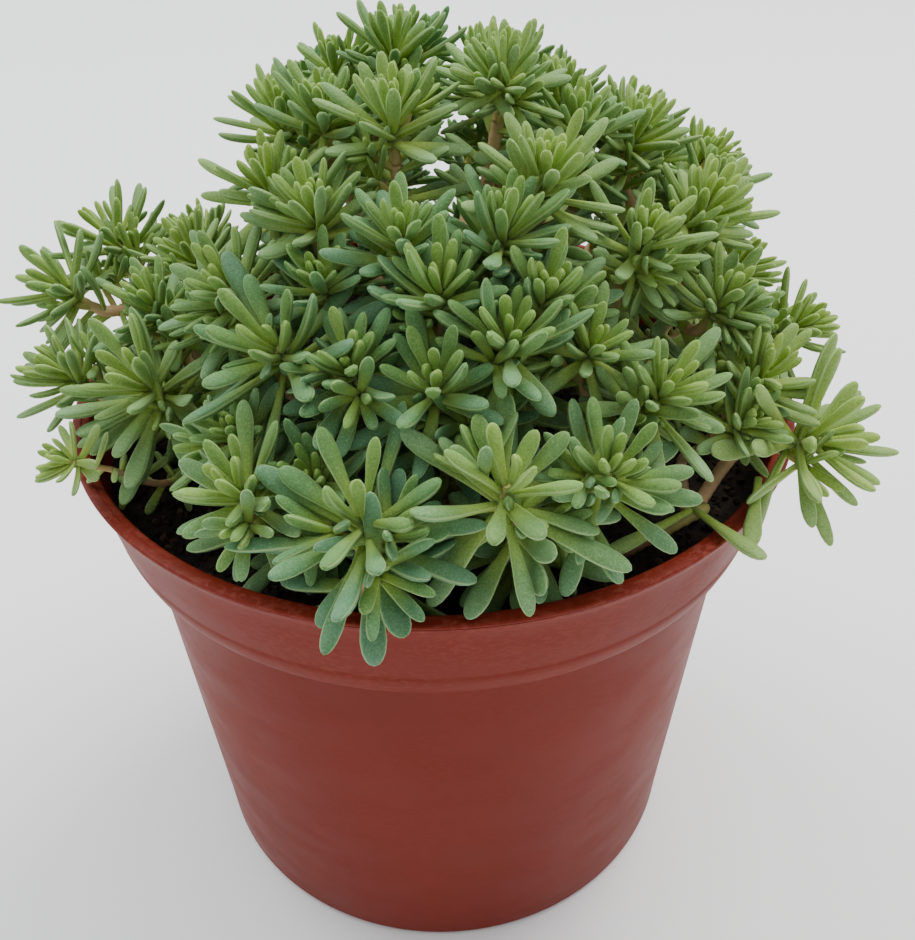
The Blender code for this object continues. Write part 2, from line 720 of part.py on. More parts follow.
def twig_path(shoot, rosette):
    """Place, way and radius of the twig from under its leaves down to the shoot's base."""
    base, way = shoot_base(shoot)
    if len(shoot) == 1:
        return [(base, way, TWIG_RADIUS)]
    first = rosette is shoot[0]
    start = base if first else base + way * SECOND_TWIG_RISE
    knee = rosette.centre - rosette.axis * WHORL_DEPTH * (rosette.whorls + 0.6)
    middle = bent_path(start, way, knee, rosette.axis, 2)[1]
    return [
        (knee, rosette.axis, TWIG_RADIUS),
        (middle, (knee - start).normalized(), TWIG_RADIUS),
        (start, way, TWIG_RADIUS * (1.0 if first else SECOND_TWIG_SHARE)),
    ]


def build_shoot(name, shoot, grown, finish, parent):
    made = [
        add_object("rosette", rosette_mesh(rosette, twig_path(shoot, rosette), grown[rosette.seed]))
        for rosette in shoot
    ]
    made[0].name = name
    if len(made) > 1:
        combine(made[0], made[1:], "UNION")
    made[0].data.materials.clear()
    made[0].data.materials.append(finish)
    shade_round(made[0])
    made[0].parent = parent
    return made[0]


def build():
    clear_scene()
    plant = bpy.data.objects.new("potted_sedum", None)
    bpy.context.scene.collection.objects.link(plant)
    plastic = material("pot_plastic", (0.20, 0.045, 0.032), 0.45)
    mix = material("potting_mix", (0.012, 0.010, 0.009), 0.95)
    bark = material("stem_bark", (0.30, 0.18, 0.12), 0.7)
    green = material("leaf_green", (0.13, 0.24, 0.09), 0.5)

    rosettes = all_rosettes()
    shoots = paired(rosettes)
    stem_plan = plan_stems(shoots)
    pot = build_pot(plastic, plant)
    trunks = [
        (*trunk_of(name, group)[:2], TRUNK_RADIUS * thickness_share(name)) for name, group in stem_plan.items()
    ]
    soil = build_soil(mix, plant, trunks)
    stems = [build_stem(name, group, bark, plant) for name, group in stem_plan.items()]

    fixed = [mesh_obstacle(item.data) for item in (pot, soil, *stems)]
    cores = {
        rosette.seed: mesh_obstacle(rosette_mesh(rosette, twig_path(shoot, rosette), {}))
        for shoot in shoots
        for rosette in shoot
    }
    grown = grow_leaves(rosettes, fixed, cores)
    for index, shoot in enumerate(shoots, start=1):
        build_shoot(f"shoot_{index:02d}", shoot, grown, green, plant)


build()
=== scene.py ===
"""Potted blue ball sedum: a thin plastic nursery pot of dark mix, filled by a mound of fleshy leaf rosettes.

Metres, +Z up, with the origin in the middle of the pot's underside. The photo looks along +Y and down.
"""

import math
import random
from collections import namedtuple

import bmesh
import bpy
import numpy as np
from mathutils import Matrix, Vector, noise
from mathutils.bvhtree import BVHTree
from mathutils.geometry import interpolate_bezier


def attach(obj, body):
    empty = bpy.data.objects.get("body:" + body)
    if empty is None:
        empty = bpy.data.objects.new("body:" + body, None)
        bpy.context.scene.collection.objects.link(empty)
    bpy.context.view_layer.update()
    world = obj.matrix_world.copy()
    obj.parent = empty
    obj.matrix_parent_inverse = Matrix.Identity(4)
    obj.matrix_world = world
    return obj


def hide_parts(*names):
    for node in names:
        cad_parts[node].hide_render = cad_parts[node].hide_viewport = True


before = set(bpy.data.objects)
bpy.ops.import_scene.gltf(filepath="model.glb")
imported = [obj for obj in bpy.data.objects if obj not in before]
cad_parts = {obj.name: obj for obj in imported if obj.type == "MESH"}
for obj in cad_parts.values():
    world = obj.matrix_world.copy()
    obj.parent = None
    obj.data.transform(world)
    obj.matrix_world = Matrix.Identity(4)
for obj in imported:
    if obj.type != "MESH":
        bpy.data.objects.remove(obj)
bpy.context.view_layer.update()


# Pot
# A thin round nursery pot, injection-moulded in brown-red plastic: a tapering wall, a deeper collar that
# stiffens its top, and a narrow lip rolled outwards. Beneath are drain holes, a centre pad and a foot ring.

MM = 0.001
LIP_RADIUS = 50 * MM
POT_HEIGHT = 80 * MM
BASE_RADIUS = 39.3 * MM
WALL_TOP_RADIUS = 43.4 * MM
WALL_TOP = 63 * MM
COLLAR_RADIUS = 46.6 * MM
COLLAR_BOTTOM = 66 * MM
COLLAR_TOP_RADIUS = 48.9 * MM
LIP_DEPTH = 1.6 * MM
LIP_WIDTH = 2.3 * MM
WALL_THICKNESS = 1.0 * MM
FLOOR_THICKNESS = 1.2 * MM
FLOOR_RAISED = 1.5 * MM
PAD_RADIUS = 14 * MM
FOOT_RING_RADIUS = 34.5 * MM
CORNER = 0.5 * MM
BASE_CORNER = 1.4 * MM
FLOOR_CORNER = 1.5 * MM
LIP_CORNER = 0.35 * MM
POT_SIDES = 160
WALL_STEPS = 12
WALL_FROM, WALL_SPAN = 0.04, 0.94  # shares of the height up to the top of the wall
LINE_UP = 2.6 * MM
LINE_WIDTH = 0.3 * MM
LINE_DEPTH = 0.025 * MM
DRAIN_HOLES = 6
DRAIN_RADIUS = 3 * MM
DRAIN_CIRCLE = 24 * MM
DRAIN_SIDES = 32
DRILL_LENGTH = 12 * MM
SHARP_ANGLE = math.radians(40)
# Points of the outline in mm, out and up from where they start: the step from the wall's top to the collar,
# the outside of the lip from its bottom, and the fine groove in the top of the lip
COLLAR_STEP = ((0.0, -0.9), (0.12, -0.1), (0.5, 0.5), (1.1, 1.05), (1.75, 1.5), (2.35, 1.95), (2.85, 2.5))
COLLAR_HEIGHTS = (4.5, 7.0, 9.5, 11.2)
LIP_OUTSIDE = ((-0.45, 0.2), (-0.28, 0.8), (-0.42, 0.95), (-0.36, 1.05), (-0.1, 1.12))
LIP_GROOVE = ((-1.15, 0.0), (-1.25, -0.14), (-1.35, -0.14))


def arc(centre, radius, start, end, steps):
    """Points of an arc in the plane of radius and height, between two angles in degrees."""
    turns = [math.radians(start + (end - start) * step / steps) for step in range(steps + 1)]
    return [(centre[0] + radius * math.cos(turn), centre[1] + radius * math.sin(turn)) for turn in turns]


def shifted(radius, height, points):
    """Points given out and up in mm from this radius and height."""
    return [(radius + out * MM, height + up * MM) for out, up in points]


def pot_outline():
    """Radius and height from the middle of the underside, up the outside, over the lip and down inside."""
    lip_bottom = POT_HEIGHT - LIP_DEPTH
    inner_lip = LIP_RADIUS - LIP_WIDTH
    floor_top = FLOOR_RAISED + FLOOR_THICKNESS
    inner_base = BASE_RADIUS - WALL_THICKNESS
    taper = WALL_TOP_RADIUS - BASE_RADIUS
    flare = (COLLAR_TOP_RADIUS - COLLAR_RADIUS) / (lip_bottom - COLLAR_BOTTOM)
    line_height = COLLAR_BOTTOM + LINE_UP
    line_radius = COLLAR_RADIUS + flare * (line_height - COLLAR_BOTTOM)
    return [
        (0, 0),
        (PAD_RADIUS - CORNER, 0),
        *arc((PAD_RADIUS - CORNER, CORNER), CORNER, -90, 0, 3),
        (PAD_RADIUS + CORNER, FLOOR_RAISED),
        (FOOT_RING_RADIUS - CORNER, FLOOR_RAISED),
        *arc((FOOT_RING_RADIUS + CORNER, CORNER), CORNER, 180, 270, 3),
        *arc((BASE_RADIUS - BASE_CORNER, BASE_CORNER), BASE_CORNER, -90, -5, 6),
        *[
            (BASE_RADIUS + taper * step / WALL_STEPS, WALL_TOP * (WALL_FROM + WALL_SPAN * step / WALL_STEPS))
            for step in range(1, WALL_STEPS)
        ],
        *shifted(WALL_TOP_RADIUS, WALL_TOP, COLLAR_STEP),
        (COLLAR_RADIUS - 0.05 * MM, COLLAR_BOTTOM + 0.3 * MM),
        (COLLAR_RADIUS + flare * 1.2 * MM, COLLAR_BOTTOM + 1.2 * MM),
        # A fine mould line around the collar
        (line_radius, line_height - LINE_WIDTH),
        (line_radius - LINE_DEPTH, line_height - LINE_WIDTH / 2),
        (line_radius - LINE_DEPTH, line_height + LINE_WIDTH / 2),
        (line_radius, line_height + LINE_WIDTH),
        *[(COLLAR_RADIUS + flare * up * MM, COLLAR_BOTTOM + up * MM) for up in COLLAR_HEIGHTS],
        (COLLAR_TOP_RADIUS + 0.1 * MM, lip_bottom - 0.4 * MM),
        *shifted(LIP_RADIUS, lip_bottom, LIP_OUTSIDE),
        *arc((LIP_RADIUS - LIP_CORNER, POT_HEIGHT - 0.3 * MM), LIP_CORNER, -10, 80, 4),
        *shifted(LIP_RADIUS, POT_HEIGHT, LIP_GROOVE),
        *arc((inner_lip + CORNER, POT_HEIGHT - 0.2 * MM - CORNER), CORNER, 90, 180, 4),
        (COLLAR_RADIUS - WALL_THICKNESS, COLLAR_BOTTOM + 0.4 * MM),
        (WALL_TOP_RADIUS - WALL_THICKNESS, WALL_TOP + 0.4 * MM),
        *arc((inner_base - FLOOR_CORNER, floor_top + FLOOR_CORNER), FLOOR_CORNER, 0, -90, 4),
        (0, floor_top),
    ]


def new_object(name, data):
    made = bpy.data.objects.new(name, data)
    bpy.context.scene.collection.objects.link(made)
    return made


def object_of(name, shape):
    """An object with the finished shape as its mesh."""
    mesh = bpy.data.meshes.new(name)
    shape.to_mesh(mesh)
    shape.free()
    return new_object(name, mesh)


def settle(piece):
    """Makes what a piece's modifiers give its own plain mesh, and removes them."""
    graph = bpy.context.evaluated_depsgraph_get()
    mesh = bpy.data.meshes.new_from_object(piece.evaluated_get(graph), depsgraph=graph)
    piece.modifiers.clear()
    piece.data = mesh


def turned(name, outline, sides):
    """A closed solid turned about Z from an outline that starts and ends on the axis."""
    shape = bmesh.new()
    corners = [shape.verts.new((radius, 0, height)) for radius, height in outline]
    edges = [shape.edges.new(pair) for pair in zip(corners, corners[1:])]
    bmesh.ops.spin(shape, geom=corners + edges, axis=(0, 0, 1), cent=(0, 0, 0), angle=math.tau, steps=sides)
    bmesh.ops.remove_doubles(shape, verts=shape.verts, dist=0.005 * MM)
    bmesh.ops.recalc_face_normals(shape, faces=shape.faces)
    return object_of(name, shape)


def drill(pot):
    """Cuts the drain holes in a ring."""
    shape = bmesh.new()
    size = {"radius1": DRAIN_RADIUS, "radius2": DRAIN_RADIUS, "depth": DRILL_LENGTH}
    for index in range(DRAIN_HOLES):
        turn = math.tau * (index + 0.5) / DRAIN_HOLES
        place = Matrix.Translation((DRAIN_CIRCLE * math.cos(turn), DRAIN_CIRCLE * math.sin(turn), 0))
        bmesh.ops.create_cone(shape, cap_ends=True, segments=DRAIN_SIDES, matrix=place, **size)
    drills = object_of("drills", shape)
    cut = pot.modifiers.new("drain_holes", "BOOLEAN")
    cut.operation = "DIFFERENCE"
    cut.object = drills
    settle(pot)
    bpy.data.objects.remove(drills)


def feed(tree, node, inputs):
    """Sets a node's inputs, keyed by name or place, to values, sockets or the first outputs of nodes."""
    for key, value in inputs.items():
        if isinstance(value, bpy.types.Node):
            value = value.outputs[0]
        if isinstance(value, bpy.types.NodeSocket):
            tree.links.new(value, node.inputs[key])
        else:
            node.inputs[key].default_value = value


def put(tree, kind, inputs=None, **settings):
    """Adds a node with these settings and inputs."""
    node = tree.nodes.new(kind)
    for key, value in settings.items():
        setattr(node, key, value)
    feed(tree, node, inputs or {})
    return node


def calc(tree, operation, *values, use_clamp=False):
    """Adds a Math node for this operation on the values."""
    return put(tree, "ShaderNodeMath", dict(enumerate(values)), operation=operation, use_clamp=use_clamp)


def open_sockets(tree, way, kinds):
    """Gives a tree its named inputs or outputs."""
    for name, kind in kinds.items():
        tree.interface.new_socket(name, in_out=way, socket_type="NodeSocket" + kind)


def seen(red, green, blue):
    """A colour as a screen shows it, from 0 to 255, made linear."""
    parts = (red, green, blue)
    linear = [((part / 255 + 0.055) / 1.055) ** 2.4 if part > 10 else part / 3294.6 for part in parts]
    return (*linear, 1.0)


def mixed(tree, share, first, second):
    """A colour between two, as a socket."""
    return put(tree, "ShaderNodeMix", {0: share, 6: first, 7: second}, data_type="RGBA").outputs[2]


def ramped(tree, value, low, high, to_low=0.0, to_high=1.0):
    """The value eased from one range to another, as a socket."""
    ends = {"Value": value, "From Min": low, "From Max": high, "To Min": to_low, "To Max": to_high}
    return put(tree, "ShaderNodeMapRange", ends, interpolation_type="SMOOTHSTEP").outputs["Result"]


def on_object(tree):
    """Places in the object's own coordinates, as a socket."""
    return put(tree, "ShaderNodeTexCoord").outputs["Object"]


def height_above(tree):
    """Height above the pot's foot, as a socket."""
    return put(tree, "ShaderNodeSeparateXYZ", {0: on_object(tree)}).outputs["Z"]


def mottle_group():
    """A mask of cloudy patches, which plastic, bark, mix and leaves all show at their own scale."""
    group = bpy.data.node_groups.new("mottle", "ShaderNodeTree")
    open_sockets(group, "INPUT", {"Scale": "Float", "Stretch": "Vector", "Contrast": "Float"})
    open_sockets(group, "OUTPUT", {"Mask": "Float"})
    given = put(group, "NodeGroupInput").outputs
    place = {0: on_object(group), 1: given["Stretch"]}
    stretched = put(group, "ShaderNodeVectorMath", place, operation="MULTIPLY")
    cloud = {"Vector": stretched, "Scale": given["Scale"], "Detail": 5.0, "Roughness": 0.6}
    centred = calc(group, "SUBTRACT", put(group, "ShaderNodeTexNoise", cloud).outputs["Fac"], 0.5)
    spread = calc(group, "MULTIPLY", centred, given["Contrast"])
    put(group, "NodeGroupOutput", {"Mask": calc(group, "ADD", spread, 0.5, use_clamp=True)})
    return group


mottle = mottle_group()


def patches(tree, scale, contrast, stretch=(1, 1, 1)):
    """The mask of cloudy patches at one finish's own scale."""
    values = {"Scale": scale, "Contrast": contrast, "Stretch": stretch}
    return put(tree, "ShaderNodeGroup", values, node_tree=mottle).outputs["Mask"]


def mottled(tree, first, second, scale, contrast):
    """A colour that drifts between two in cloudy patches, as a socket."""
    return mixed(tree, patches(tree, scale, contrast), first, second)


def fine_grain(tree, scale, detail, roughness=0.5):
    """A fine even noise, as a socket."""
    values = {"Vector": on_object(tree), "Scale": scale, "Detail": detail, "Roughness": roughness}
    return put(tree, "ShaderNodeTexNoise", values).outputs["Fac"]


def roughen(tree, shader, height, strength, distance):
    """Lets a height mask catch the light, up to this distance."""
    bump = put(tree, "ShaderNodeBump", {"Strength": strength, "Distance": distance, "Height": height})
    feed(tree, shader, {"Normal": bump})


def new_finish(name):
    made = bpy.data.materials.new(name)
    made.use_nodes = True
    return made, made.node_tree, made.node_tree.nodes["Principled BSDF"]


def pot_plastic():
    """Brown-red plastic, a little cloudy and satin, with pale rubbed specks on the collar and the lip."""
    made, tree, shader = new_finish("pot_plastic_finish")
    body = mottled(tree, seen(119, 37, 22), seen(107, 33, 22), 34.0, 1.8)
    blotches = patches(tree, 90.0, 2.5, (1, 1, 2))
    rubbed = ramped(tree, patches(tree, 900.0, 9.0, (1, 1, 2.5)), 0.55, 1.0)
    height = height_above(tree)
    collar = ramped(tree, height, COLLAR_BOTTOM - 2.5 * MM, COLLAR_BOTTOM + 2 * MM, 0.03, 0.1)
    lip = ramped(tree, height, POT_HEIGHT - 3.5 * MM, POT_HEIGHT - 1 * MM, 0.0, 0.1)
    broken = calc(tree, "MULTIPLY", rubbed, blotches)
    share = calc(tree, "MULTIPLY", broken, calc(tree, "ADD", collar, lip))
    colour = mixed(tree, share, body, seen(186, 112, 92))
    satin = ramped(tree, blotches, 0.0, 1.0, 0.42, 0.52)
    feed(tree, shader, {"Base Color": colour, "Roughness": satin, "Specular IOR Level": 0.1})
    roughen(tree, shader, calc(tree, "ADD", fine_grain(tree, 1400.0, 2.0), broken), 0.12, 0.05 * MM)
    return made


pot = turned("nursery_pot", pot_outline(), POT_SIDES)
drill(pot)
pot.data.materials.clear()
pot.data.materials.append(pot_plastic())
pot.data.shade_smooth()
pot.data.set_sharp_from_angle(angle=SHARP_ANGLE)
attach(pot, "root")
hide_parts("pot")


# Potting mix
# Dark peat and composted bark, filled to a few millimetres below the rim and settled in lumps.
# One closed plug holds the pot's shape, and loose crumbs and fibres lie on top of it.

MIX_EDGE = 72 * MM
MIX_CROWN = 2.2 * MM
MIX_CLEARANCE = 0.1 * MM
MIX_UP_COLLAR = 0.42
MIX_RINGS = 40
MIX_SIDES = 120
MIX_RELIEF = 1.3 * MM
LUMPS_PER_METRE = 130
LUMP_DETAIL = 4
MEAN_LUMP = 0.45
CRUMBS = 5200
FIBRES = 260
CRUMB_SHAPE = (1.0, 0.8, 0.6)
FIBRE_SHAPE = (3.4, 0.22, 0.2)
FIBRE_TIP = 0.5  # crumbs lie any way up, and fibres tip up no further than this
CRUMB_RELIEF = 0.55
BUMPS_ACROSS_CRUMB = 2.3
SMALLEST_CRUMB = 0.45 * MM
LARGEST_CRUMB = 1.7 * MM
STREWN_BELOW_EDGE = 2 * MM
STREWN_INSIDE_COLLAR = 3 * MM
STREWN_SEED = 4
CRUMB_SEED = 3
FIBRE_SEED = 8
TURN_SEED = 3
SIZE_SEED = 11
SHADE_SEED = 21


def mix_height(x, y):
    """Height of the settled surface."""
    reach = math.hypot(x, y) / COLLAR_RADIUS
    lumps = noise.turbulence(Vector((x, y, 0)) * LUMPS_PER_METRE, LUMP_DETAIL, False)
    return MIX_EDGE + MIX_CROWN * (1 - reach**2) + MIX_RELIEF * (lumps - MEAN_LUMP)


def mix_ring(shape, radius, height=None):
    """Corners around the mix, at one height or on the settled surface."""
    ring = []
    for side in range(MIX_SIDES):
        turn = math.tau * side / MIX_SIDES
        x, y = radius * math.cos(turn), radius * math.sin(turn)
        ring.append(shape.verts.new((x, y, mix_height(x, y) if height is None else height)))
    return ring


def mix_plug():
    """The closed plug of mix: its bumpy top, then the side and the bottom that follow the pot's inside."""
    top_radius = COLLAR_RADIUS + (LIP_RADIUS - LIP_WIDTH - COLLAR_RADIUS) * MIX_UP_COLLAR - MIX_CLEARANCE
    floor_top = FLOOR_RAISED + FLOOR_THICKNESS
    wall = (
        (COLLAR_RADIUS - WALL_THICKNESS, COLLAR_BOTTOM + 0.9 * MM),
        (WALL_TOP_RADIUS - WALL_THICKNESS, WALL_TOP + 0.9 * MM),
        (BASE_RADIUS - WALL_THICKNESS, floor_top + 1.7 * MM),
        (BASE_RADIUS - 2.5 * WALL_THICKNESS, floor_top + 0.2 * MM),
    )
    shape = bmesh.new()
    rings = [mix_ring(shape, top_radius * step / MIX_RINGS) for step in range(1, MIX_RINGS + 1)]
    rings += [mix_ring(shape, radius - MIX_CLEARANCE, height) for radius, height in wall]
    middle = shape.verts.new((0, 0, mix_height(0, 0)))
    for side in range(MIX_SIDES):
        after = (side + 1) % MIX_SIDES
        shape.faces.new((middle, rings[0][side], rings[0][after]))
        for inner, outer in zip(rings, rings[1:]):
            shape.faces.new((inner[side], outer[side], outer[after], inner[after]))
    shape.faces.new(reversed(rings[-1]))
    return object_of("potting_mix", shape)


def lump(name, scale, seed):
    """A small irregular lump, about one across before it is scaled, that the loose pieces are made from."""
    shape = bmesh.new()
    bmesh.ops.create_icosphere(shape, subdivisions=1, radius=0.5)
    for corner in shape.verts:
        place = corner.co * BUMPS_ACROSS_CRUMB + Vector((seed, 0, 0))
        corner.co *= 1 + CRUMB_RELIEF * noise.noise(place)
        corner.co = Vector(part * share for part, share in zip(corner.co, scale))
    return object_of(name, shape)


def new_tree(name, inputs):
    """A Geometry Nodes tree with these inputs after its geometry, and the sockets that give them."""
    tree = bpy.data.node_groups.new(name, "GeometryNodeTree")
    open_sockets(tree, "INPUT", {"Geometry": "Geometry", **inputs})
    open_sockets(tree, "OUTPUT", {"Geometry": "Geometry"})
    return tree, put(tree, "NodeGroupInput").outputs


def close_tree(tree, given, geometry):
    """Gives the geometry its finish and hands it out."""
    finished = put(tree, "GeometryNodeSetMaterial", {"Geometry": geometry, "Material": given["Finish"]})
    put(tree, "NodeGroupOutput", {"Geometry": finished})
    return tree


def grow(piece, tree, values):
    """Runs the tree on the piece with these inputs, and leaves the result as its plain mesh."""
    modifier = piece.modifiers.new(tree.name, "NODES")
    modifier.node_group = tree
    sockets = {item.name: item.identifier for item in tree.interface.items_tree if item.in_out == "INPUT"}
    for label, value in values.items():
        modifier[sockets[label]] = value
    settle(piece)


def scatter_tree():
    """Loose pieces strewn over the upward faces, joined to them."""
    kinds = {"Crumb": "Object", "Fibre": "Object", "Crumbs per Area": "Float", "Fibres per Area": "Float"}
    kinds |= {"Smallest": "Float", "Largest": "Float", "Lowest": "Float", "Farthest": "Float"}
    tree, given = new_tree("strewn_pieces", {**kinds, "Seed": "Int", "Finish": "Material"})
    place = put(tree, "ShaderNodeSeparateXYZ", {0: put(tree, "GeometryNodeInputPosition")}).outputs
    flat = put(tree, "ShaderNodeCombineXYZ", {"X": place["X"], "Y": place["Y"]})
    reach = put(tree, "ShaderNodeVectorMath", {0: flat}, operation="LENGTH").outputs["Value"]
    is_top = put(tree, "FunctionNodeCompare", {0: place["Z"], 1: given["Lowest"]}, operation="GREATER_THAN")
    is_inner = put(tree, "FunctionNodeCompare", {0: reach, 1: given["Farthest"]}, operation="LESS_THAN")
    is_bed = put(tree, "FunctionNodeBooleanMath", {0: is_top, 1: is_inner}, operation="AND")
    bed = {"Mesh": given["Geometry"], "Selection": is_bed, "Seed": given["Seed"]}
    joined = put(tree, "GeometryNodeJoinGeometry", {0: given["Geometry"]})
    strewn = (("Crumb", "Crumbs per Area", math.tau), ("Fibre", "Fibres per Area", FIBRE_TIP))
    for index, (label, density, tip) in enumerate(strewn):
        points = put(tree, "GeometryNodeDistributePointsOnFaces", {**bed, "Density": given[density]})
        any_way = {0: (0, 0, 0), 1: (tip, tip, math.tau), 8: TURN_SEED + index}
        turn = put(tree, "FunctionNodeRandomValue", any_way, data_type="FLOAT_VECTOR")
        any_size = {2: given["Smallest"], 3: given["Largest"], 8: SIZE_SEED + index}
        any_shade = {2: 0.0, 3: 1.0, 8: SHADE_SEED + index}
        size, shade = (
            put(tree, "FunctionNodeRandomValue", limits, data_type="FLOAT").outputs[1]
            for limits in (any_size, any_shade)
        )
        source = put(tree, "GeometryNodeObjectInfo", {"Object": given[label]}).outputs["Geometry"]
        rotation = put(tree, "FunctionNodeEulerToRotation", {0: turn})
        laid = {"Points": points, "Instance": source, "Rotation": rotation, "Scale": size}
        copies = put(tree, "GeometryNodeInstanceOnPoints", laid)
        tint = {"Geometry": copies, "Name": "tint", "Value": shade}
        tinted = put(tree, "GeometryNodeStoreNamedAttribute", tint, data_type="FLOAT", domain="INSTANCE")
        real = put(tree, "GeometryNodeRealizeInstances", {0: tinted})
        tree.links.new(real.outputs[0], joined.inputs[0])
    return close_tree(tree, given, joined)


def stored(tree, name):
    """What a piece's mesh keeps under this name, as a socket of a finish."""
    return put(tree, "ShaderNodeAttribute", attribute_name=name).outputs["Fac"]


def dark_mix():
    """Near-black peat with brown bark crumbs, dull all over."""
    made, tree, shader = new_finish("dark_mix")
    peat = mottled(tree, seen(22, 19, 16), seen(46, 38, 31), 420.0, 3.0)
    barky = ramped(tree, stored(tree, "tint"), 0.72, 1.0, 0.0, 0.75)
    colour = mixed(tree, barky, peat, seen(84, 66, 48))
    feed(tree, shader, {"Base Color": colour, "Roughness": 0.95, "Specular IOR Level": 0.2})
    roughen(tree, shader, fine_grain(tree, 1800.0, 4.0), 0.6, 0.15 * MM)
    return made


mix = mix_plug()
crumb = lump("crumb", CRUMB_SHAPE, CRUMB_SEED)
fibre = lump("fibre", FIBRE_SHAPE, FIBRE_SEED)
mix_area = math.pi * COLLAR_RADIUS**2
grow(
    mix,
    scatter_tree(),
    {
        "Crumb": crumb,
        "Fibre": fibre,
        "Crumbs per Area": CRUMBS / mix_area,
        "Fibres per Area": FIBRES / mix_area,
        "Smallest": SMALLEST_CRUMB,
        "Largest": LARGEST_CRUMB,
        "Lowest": MIX_EDGE - STREWN_BELOW_EDGE,
        "Farthest": COLLAR_RADIUS - STREWN_INSIDE_COLLAR,
        "Seed": STREWN_SEED,
        "Finish": dark_mix(),
    },
)
for source in (crumb, fibre):
    bpy.data.objects.remove(source)
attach(mix, "root")
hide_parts("soil")


# Stems
# Low, soft-woody stems that branch out of the mix like a bush, each twig ending inside a rosette of leaves.
# They are smooth and tan-pink where young, browner below, with a small swelling where each leaf dropped.

MOUND_MIDDLE = (4 * MM, 6 * MM)
MOUND_REACH = (53 * MM, 56 * MM)
MOUND_RISE = 44 * MM
ROOT_CENTRE = Vector((0, 2 * MM, 38 * MM))  # all stems but the trailing one fan out from here

# Rosettes on the mound, in rows from the front edge to the back: y, then each x from the left, in mm
MOUND_ROWS = (
    (-35, (0,)),
    (-32, (-9, 8, 25)),
    (-28, (1, 12)),
    (-23, (-3, 8, 39)),
    (-19, (-23, 24, 34)),
    (-17, (-13, 13)),
    (-9, (-35, -19, -4, 33)),
    (-3, (-12.5, 9)),
    (3, (-18, 37)),
    (7, (-4,)),
    (14, (-12,)),
    (20, (-17, -3)),
    (26, (-12, 30)),
    (30, (8,)),
    (33, (-21, -4, 18)),
    (41, (-4,)),
)
# Small side rosettes, close beside the ones above
SIDE_ROSETTES = ((-13, -38), (-22, -31), (17, -30), (-12, -23), (13, 21))
# Rosettes set one by one, most of them at the rim: x, y and height in mm, size, lean away from the mound, and
# number of whorls
RIM_ROSETTES = (
    (-7.5, -46.5, 92.5, 1.12, -0.45, 4),
    (7, -45, 94.5, 1.08, -0.3, 4),
    (18, -42, 93.5, 0.95, 0.3, 4),
    (-21, -40, 91, 0.95, 0.1, 4),
    (-17, -28, 101, 1.15, 3.5, 3),
    (-35, -19, 91.5, 1.12, 1.8, 3),
    (36, -29, 90.5, 0.65, 0.5, 3),
    (45, -28.5, 87.5, 1.27, 1.1, 4),
    (48, -7, 90.5, 0.9, 1.3, 3),
    (44.5, 10, 91.5, 0.9, 0.9, 3),
    (43.5, 25, 93.5, 0.95, 0.9, 3),
    (39, 18, 104.5, 0.95, 0.4, 3),
    (29, 14, 107.5, 0.95, 0.3, 3),
    (26.5, 3, 113.5, 0.95, 0.3, 3),
    (18, -3, 116.5, 0.95, 0.3, 3),
    (20, 22, 108.5, 0.95, 0.3, 3),
    (17, 6, 117, 0.95, 0.3, 3),
    (9.5, 15, 118.5, 0.95, 0.3, 3),
    (33, 37, 95, 0.9, 0.9, 3),
    (22, 46, 91, 0.95, 0.9, 3),
    (6, 49, 95, 0.9, 0.9, 3),
    (-10, 49, 92, 0.95, 0.9, 3),
    (-25, 42, 92, 0.9, 0.9, 3),
    (-35, 18, 93, 0.95, 0.5, 3),
    (-33, 5, 97, 0.95, 0.3, 3),
    (-37, 30, 89, 0.95, 0.9, 3),
    (-45, 12, 96.5, 1.27, 0.8, 3),
    (-50.5, 3, 94, 1.15, 0.9, 3),
    (-47.5, -11, 88.5, 0.95, 0.9, 3),
    (-43.5, -27, 86.2, 0.45, 1.2, 2),
)
LEAN_CENTRE = Vector((0, 4 * MM, -5 * MM))  # rosettes face away from this point
MOUND_LEAN = 0.3
AXIS_SWAY = 0.1
SIDE_DEPTH = 2 * MM
ROSETTE_SIZES = (0.87, 1.05)
SIDE_SIZE = 0.72
SHOOT_COUNT = 45
SEED = 7

# Stems, named for the patch of the mound that each feeds: the middle of the patch, x and y in mm
STEM_PATCHES = {
    "stem_front": (1, -38),
    "stem_front_left": (-21, -33),
    "stem_front_right": (23, -32),
    "stem_left": (-41, -8),
    "stem_right": (40, -6),
    "stem_middle_left": (-16, -10),
    "stem_middle_right": (13, -10),
    "stem_back_left": (-31, 27),
    "stem_back_middle": (-3, 22),
    "stem_back": (-3, 44),
    "stem_back_right": (30, 25),
    "stem_rim_right": (41, -28),
}
TRAILING_STEM = "stem_rim_right"
TRAILING_FOOT = Vector((15, -31, 67.5)) * MM
TRAILING_FORK = Vector((30.5, -32, 79.5)) * MM
STEM_FOOT_DEPTH = 6 * MM
STEM_FORK = 0.52  # how far a trunk goes from the root centre to its shoots
TRUNK_LEAST = 8 * MM
TRUNK_BEYOND = 2 * MM
TRUNK_RADIUS = 1.4 * MM
BRANCH_RADIUS = 1.1 * MM
TWIG_RADIUS = 0.8 * MM
TIP_RADIUS = 0.7 * MM
BUD_RADIUS = 0.35 * MM
BUD_RISE = 0.4 * MM
TRAILING_SLIMMER = 0.76
TRAILING_SPACING = 0.3 * MM
YOUNG_FROM = 7 * MM
YOUNG_TO = 2 * MM
BRANCH_SPACING = 1.2 * MM
BRANCH_ELBOW = 0.4
BRANCH_LOWEST = MIX_EDGE + MIX_CROWN + 1.5 * MM
SINGLE_TWIG = 6 * MM
FORKED_TWIG = 6.5 * MM
TWIG_PULL = 0.36
WHORL_DEPTH = 1.5 * MM
KNEE_BELOW = 0.6  # whorls
PATH_STEPS = 6
JOINT_SPACING = 1.3 * MM
STEPS_PER_JOINT = 3
